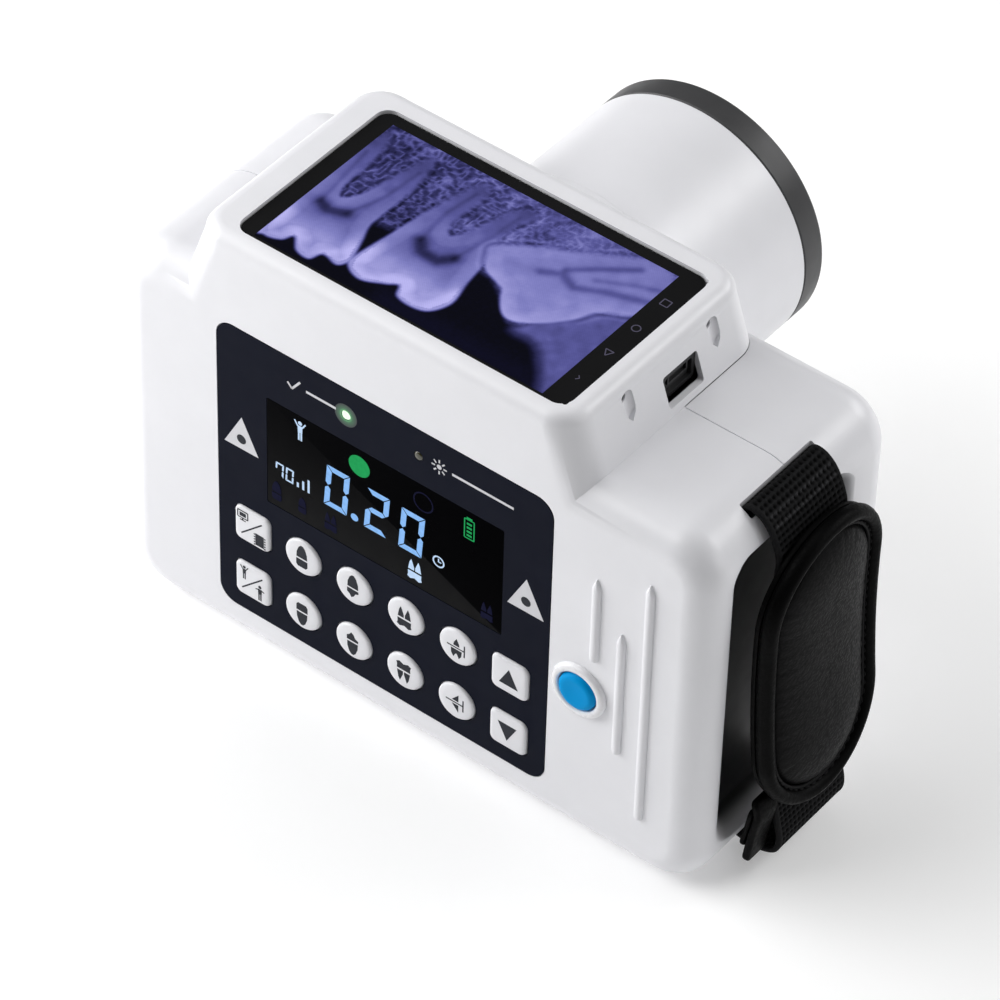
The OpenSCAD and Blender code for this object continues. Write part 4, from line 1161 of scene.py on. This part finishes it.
def build_webbing():
    fine = 0.42
    line, s = smooth_path(WEB_PATH, fine)
    normal = normals(line)
    ny = int((WEB_Y1 - WEB_Y0) / fine)
    ys = np.linspace(WEB_Y0, WEB_Y1, ny + 1)
    pitch = 1.9
    S, Y = np.meshgrid(s, ys, indexing="ij")
    row = 0.5 - 0.5 * np.cos(2 * np.pi * S / pitch)
    col = 0.5 - 0.5 * np.cos(2 * np.pi * (Y - WEB_Y0) / pitch)
    inner = np.clip((np.minimum(Y - WEB_Y0, WEB_Y1 - Y) - 1.2) / 0.8, 0, 1)
    hole = inner * np.clip(1.9 * (1 - row) * (1 - col) - 0.25, 0, 1)
    pit = 0.5 * hole + 0.12 * inner * (1 - row)
    edge = np.clip(np.minimum(Y - WEB_Y0, WEB_Y1 - Y) / 0.9, 0, 1)
    half = (WEB_T / 2 - 0.05) * (0.45 + 0.55 * np.sqrt(edge * (2 - edge)))
    verts = []
    for sign in (-1, 1):
        off = sign * (half - pit)
        px, pz = (line[:, c][:, None] + normal[:, c][:, None] * off for c in (0, 1))
        verts.append(np.stack([px, Y, pz], -1).reshape(-1, 3))
    verts = np.vstack(verts)
    n, k = len(line), ny + 1
    b = n * k
    faces = []
    for turn, base in ((1, 0), (-1, b)):
        faces += [[base + i * k + j, base + (i + 1) * k + j, base + (i + 1) * k + j + 1,
                   base + i * k + j + 1][::turn] for i in range(n - 1) for j in range(k - 1)]
    for i in range(n - 1):
        for j in (0, k - 1):
            faces.append((i * k + j, (i + 1) * k + j, b + (i + 1) * k + j, b + i * k + j))
    for i in (0, n - 1):
        for j in range(k - 1):
            faces.append((i * k + j, i * k + j + 1, b + i * k + j + 1, b + i * k + j))
    ob = piece("strap_webbing_weave", verts, faces, WEB, "housing", "webbing", ["strap_webbing"],
               60)
    # thread: painted highlight on the weave's ridges, painted shade in its holes and between its
    # rows
    thread = np.clip(1.5 - 1.5 * hole - 0.6 * inner * (1 - row), 0.02, 2)
    # two rows of painted highlight on the weave's columns across the web, just outside the slot
    for s0 in (20.4, 23.4):
        thread += 3.5 * inner * np.exp(-((S - s0) / 0.4) ** 2) * (col > 0.35)
    paint(ob, "thread", np.tile(thread.ravel(), 2)[:, None])


build_webbing()


def on_pad(v):
    """Heights over the pad's back become places on the bowed pad."""
    v = np.asarray(v, float).copy()
    v[:, 0] += pad_back(v[:, 2])
    return v


def oblong(inset, n_arc=40, n_flat=24):
    """Closed outline of the pad in (y, z), counter-clockwise."""
    r = PAD_W / 2 - inset
    flat = (PAD_L - PAD_W) / 2
    turn = [pi * i / n_arc for i in range(n_arc)]
    pts = [(PAD_Y + r * cos(t), PAD_Z + flat + r * sin(t)) for t in turn]
    pts += [(PAD_Y - r, PAD_Z + flat - 2 * flat * i / n_flat) for i in range(n_flat)]
    pts += [(PAD_Y - r * cos(t), PAD_Z - flat - r * sin(t)) for t in turn]
    pts += [(PAD_Y + r, PAD_Z - flat + 2 * flat * i / n_flat) for i in range(n_flat)]
    return np.array(pts)


def ring_sweep(profile, closed=True):
    """A band round the pad; profile is a list of (inset, height over the pad's back)."""
    k = len(oblong(0))
    verts = np.vstack([np.column_stack([np.full(k, float(h)), oblong(inset)])
                       for inset, h in profile])
    return verts, ring_faces(len(profile), k, closed)


def build_pad():
    v, f = ring_sweep([(1.9, 0.03), (1.1, 0.25), (0.8, 1.0), (1.0, 1.7), (1.6, 1.98)], False)
    piece("pad_backing_layer", on_pad(v), f, ROLL, "housing", "leather", ["pad_backing"], 40)
    roll = [(1.1, 2.05), (0.35, 2.7), (0.0, 3.7), (0.1, 4.9), (0.5, 6.0), (1.2, 6.8), (2.1, 7.15),
            (3.0, 7.05), (3.8, 6.5), (4.3, 5.6), (4.5, 4.4), (4.4, 3.2), (4.2, 2.05)]
    v, f = ring_sweep(roll)
    border = piece("pad_border_roll", on_pad(v), f, ROLL, "housing", "leather", ["pad_border"], 60)
    pipe = [(5.25 + 0.55 * cos(a), 5.0 + 0.55 * sin(a))
            for a in np.linspace(0, 2 * pi, 9)[:-1]]
    v, f = ring_sweep(pipe)
    piece("pad_piping", on_pad(v), f, STITCH, "housing", "leather", (), 60)
    build_cushion()
    build_stitches()


def build_cushion():
    rings = 18
    outline = oblong(5.9, 72, 60)
    k = len(outline)
    flat = (PAD_L - PAD_W) / 2
    centre = np.column_stack([np.full(k, PAD_Y),
                              np.clip(outline[:, 1], PAD_Z - flat, PAD_Z + flat)])
    rng = np.random.default_rng(11)
    phase = rng.random(3) * 2 * pi
    along = np.arange(k) / k * 2 * pi
    layers = [np.column_stack([np.full(k, 2.05), outline])]
    for i in range(rings):
        t = i / (rings - 1)
        q = centre + (outline - centre) * max(1 - t, 0.03)
        crown = 4.6 + 4.9 * (1 - (1 - t) ** 2.4) ** 0.6
        folds = (np.sin(along * 67 + phase[0]) + 0.7 * np.sin(along * 38 + phase[1])
                 + 0.5 * np.sin(along * 21 + phase[2]))
        pucker = 0.13 * exp(-t / 0.16) * folds
        layers.append(np.column_stack([crown + pucker * (t > 0), q]))
    verts, faces = np.vstack(layers), ring_faces(rings + 1, k)
    ob = piece("pad_cushion_leather", on_pad(verts), faces, LEATHER, "housing", "leather",
               ["pad_cushion"], 70)


def build_stitches():
    """Short thread stitches lying on the inner slope of the border."""
    outline = oblong(4.75, 60, 40)
    closed = np.vstack([outline, outline[:1]])
    s = np.concatenate([[0], np.cumsum(np.linalg.norm(np.diff(closed, axis=0), axis=1))])
    pitch, length, r = 3.0, 2.0, 0.22
    verts, faces = [], []
    for i in range(int(s[-1] / pitch)):
        pts = [np.array([np.interp((i * pitch + u * length) % s[-1], s, closed[:, c])
                         for c in (0, 1)]) for u in np.linspace(-0.5, 0.5, 5)]
        d = (pts[-1] - pts[0]) / np.linalg.norm(pts[-1] - pts[0])
        side = np.array([-d[1], d[0]])
        base = len(verts)
        for p, fat in zip(pts, (0.45, 0.9, 1.0, 0.9, 0.45)):
            for a in range(6):
                t = 2 * pi * a / 6
                w = p + side * r * fat * cos(t)
                verts.append((5.3 + 0.3 * fat + r * fat * sin(t), w[0], w[1]))
        *sides, near, far = ring_faces(5, 6)
        faces += [[base + a for a in f] for f in (*sides, near, reversed(far))]
    piece("pad_stitches", on_pad(verts), faces, STITCH, "housing", "leather", (), 60)


build_pad()


def strip(name, line_pts, half_w, half_t, stands_for=()):
    """A leather strip swept along a line in (x, z), with rounded edges and tapered ends."""
    y0, corner = -22.95, 2.4
    line, s = smooth_path(line_pts, 0.3)
    r = min(half_t, half_w) * 0.85
    sect = rr_loop(-half_w + r, half_w - r, -half_t + r, half_t - r, r, 4)
    verts = []
    for i, (p, nrm) in enumerate(zip(line, normals(line))):
        # rounded off over half the thickness at an end, and over a corner radius in plan
        left = min(s[i], s[-1] - s[i]) + 0.05
        thin = sqrt(1 - (1 - min(left / half_t, 1)) ** 2)
        narrow = 1 - corner / half_w * (1 - sqrt(1 - (1 - min(left / corner, 1)) ** 2))
        for a, b in sect:
            q = p + nrm * b * thin
            verts.append((q[0], y0 + a * narrow, q[1]))
    faces = ring_faces(len(line), len(sect))
    piece(name, verts, faces, ROLL, "housing", "leather", stands_for, 50)


def build_tail():
    """The leather tongue under the pad: two layers that come together at its tip."""
    outer = [(121.6, 34.6), (122.8, 31.8), (123.3, 28.4), (122.6, 24.2), (121.7, 19), (121.0, 14.4),
             (120.5, 10.8), (120.3, 9.0)]
    strip("strap_tail_tongue", outer, 4.6, 1.25, ["strap_tail"])
    inner = [(121.2, 30.0), (120.7, 26.4), (119.9, 22.0), (119.2, 18.2), (118.8, 15.6),
             (118.8, 14.2)]
    strip("strap_tail_fold", inner, 4.4, 0.8)


build_tail()


# ---- screws
def build_screws():
    def cross_head(x, z, y_head, r_head, r_shank, y_tip):
        prof = [(0, y_head + 2.0), (r_head * 0.55, y_head + 1.95), (r_head * 0.85, y_head + 1.6),
                (r_head, y_head + 1.0), (r_head, y_head), (r_shank, y_head), (r_shank, y_tip + 0.6),
                (r_shank * 0.5, y_tip), (0, y_tip)]
        ob = scratch(*lathe("y", (x, z), prof, 32))
        for w, h in ((0.5, 1.7), (1.7, 0.5)):
            cut(ob, scratch(*slab((x - w, y_head + 0.9, z - h), (x + w, y_head + 3, z + h))))
        return ob

    def group(name, node, made):
        bpy.ops.object.select_all(action="DESELECT")
        for o in made:
            o.select_set(True)
        bpy.context.view_layer.objects.active = made[0]
        bpy.ops.object.join()
        finished(made[0], name, STEEL, "screw_steel", [node], 35)

    group("shell_screws_cross_head", "shell_screws",
          [cross_head(x, z, RY - 6, 2.9, 1.5, SEAM - 12) for x, z in SCREWS])
    spots = [(33 * cos(radians(a)), BEAM_Z + 33 * sin(radians(a)))
             for a in (45, 135, 225, 315)]
    group("cone_screws_cross_head", "cone_screws",
          [cross_head(x, z, RY + 4, 2.9, 1.25, 40.1) for x, z in spots])


build_screws()


# ---- finishes of the CAD pieces that stay
BOARD = finish_material("circuit_board", (0.012, 0.085, 0.04), 0.4, var=0.15, vscale=200, coat=0.3)
LCD_BACK = finish_material("panel_back", (0.05, 0.05, 0.055), 0.35, metal=0.6, var=0.1)
BLACK = finish_material("black_plastic", (0.015, 0.015, 0.016), 0.5, var=0.12, grain=0.3)
CELL = finish_material("cell_wrap", (0.02, 0.06, 0.3), 0.3, var=0.08, coat=0.4)
ALU = finish_material("aluminium", (0.62, 0.63, 0.65), 0.36, metal=1.0, var=0.05, rvar=0.1)
TUBE = finish_material("tube_glass", (0.55, 0.62, 0.66), 0.08, var=0.05, coat=0.8)
COPPER = finish_material("copper_wire", (0.55, 0.24, 0.1), 0.35, metal=1.0, var=0.2, vscale=900)
LEAD = finish_material("lead_sheet", (0.16, 0.17, 0.18), 0.55, metal=0.8, var=0.2, vscale=120)
for mat, nodes in ((LEAD, "cone_liner lead_shield"), (LCD_BACK, "screen_panel"),
                   (BOARD, "screen_board display_module keypad_board button_board main_board"),
                   (DARK_HOLE, "port_socket"), (STEEL, "key_switches strap_anchors"),
                   (BLACK, "exposure_switch buzzer battery_tray"), (CELL, "battery_cells"),
                   (ALU, "tube_head_case tube_head_lid beam_filter"), (TUBE, "xray_tube"),
                   (COPPER, "high_voltage_transformer")):
    for node in nodes.split():
        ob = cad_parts[node]
        ob.data.materials.clear()
        ob.data.materials.append(mat)


# ---- floor and light
def build_stage():
    m = Nodes("studio_floor")
    tone = m.ramp(m.noise(3.0), [(0.3, (0.86, 0.86, 0.86)), (0.7, (0.87, 0.87, 0.87))])
    m.link(tone, m.bsdf.inputs["Base Color"])
    m.set(Roughness=0.75, Specular_IOR_Level=0.1, Emission_Color=(1, 1, 1, 1),
          Emission_Strength=0.242)
    me = bpy.data.meshes.new("studio_floor")
    me.from_pydata([(-6, -6, 0), (6, -6, 0), (6, 6, 0), (-6, 6, 0)], [], [(0, 1, 2, 3)])
    ob = bpy.data.objects.new("studio_floor", me)
    me.materials.append(m.mat)
    scene.collection.objects.link(ob)
    world = bpy.data.worlds.new("studio")
    scene.world = world
    world.use_nodes = True
    sky = world.node_tree.nodes["Background"].inputs
    sky["Color"].default_value = (1, 1, 1, 1)
    sky["Strength"].default_value = 0.004

    aim = Vector((0, 0, 0.05))
    for name, loc, size, power in (
            ("low_left_light", (-0.9, -0.5, 0.3), (0.6, 0.4), 5.2),
            ("near_left_light", (-0.75, -0.2, 0.55), (0.5, 0.5), 3.2),
            ("near_front_light", (-0.55, -0.65, 0.6), (0.5, 0.5), 0.75),
            ("above_left_light", (-0.4, 0.0, 0.95), (0.5, 0.5), 0.93),
            ("above_front_light", (-0.3, -0.5, 0.95), (0.5, 0.5), 2.0),
            ("front_left_light", (-0.9, -0.9, 1.3), (0.9, 0.9), 3.1),
            ("top_light", (0.0, 0.1, 1.8), (1.2, 1.2), 2.8),
            ("right_light", (1.5, 0.3, 0.7), (0.9, 0.9), 4.4),
            ("upper_right_light", (1.0, 1.0, 1.3), (0.8, 0.8), 8.2),
            ("back_right_light", (0.6, 1.5, 0.9), (0.8, 0.6), 8.6)):
        data = bpy.data.lights.new(name, "AREA")
        data.shape = "RECTANGLE"
        data.size, data.size_y = size
        data.energy = power
        lamp = bpy.data.objects.new(name, data)
        scene.collection.objects.link(lamp)
        lamp.location = loc
        lamp.rotation_mode = "QUATERNION"
        lamp.rotation_quaternion = (aim - Vector(loc)).to_track_quat("-Z", "Y")


build_stage()
scene.view_settings.view_transform = "Standard"
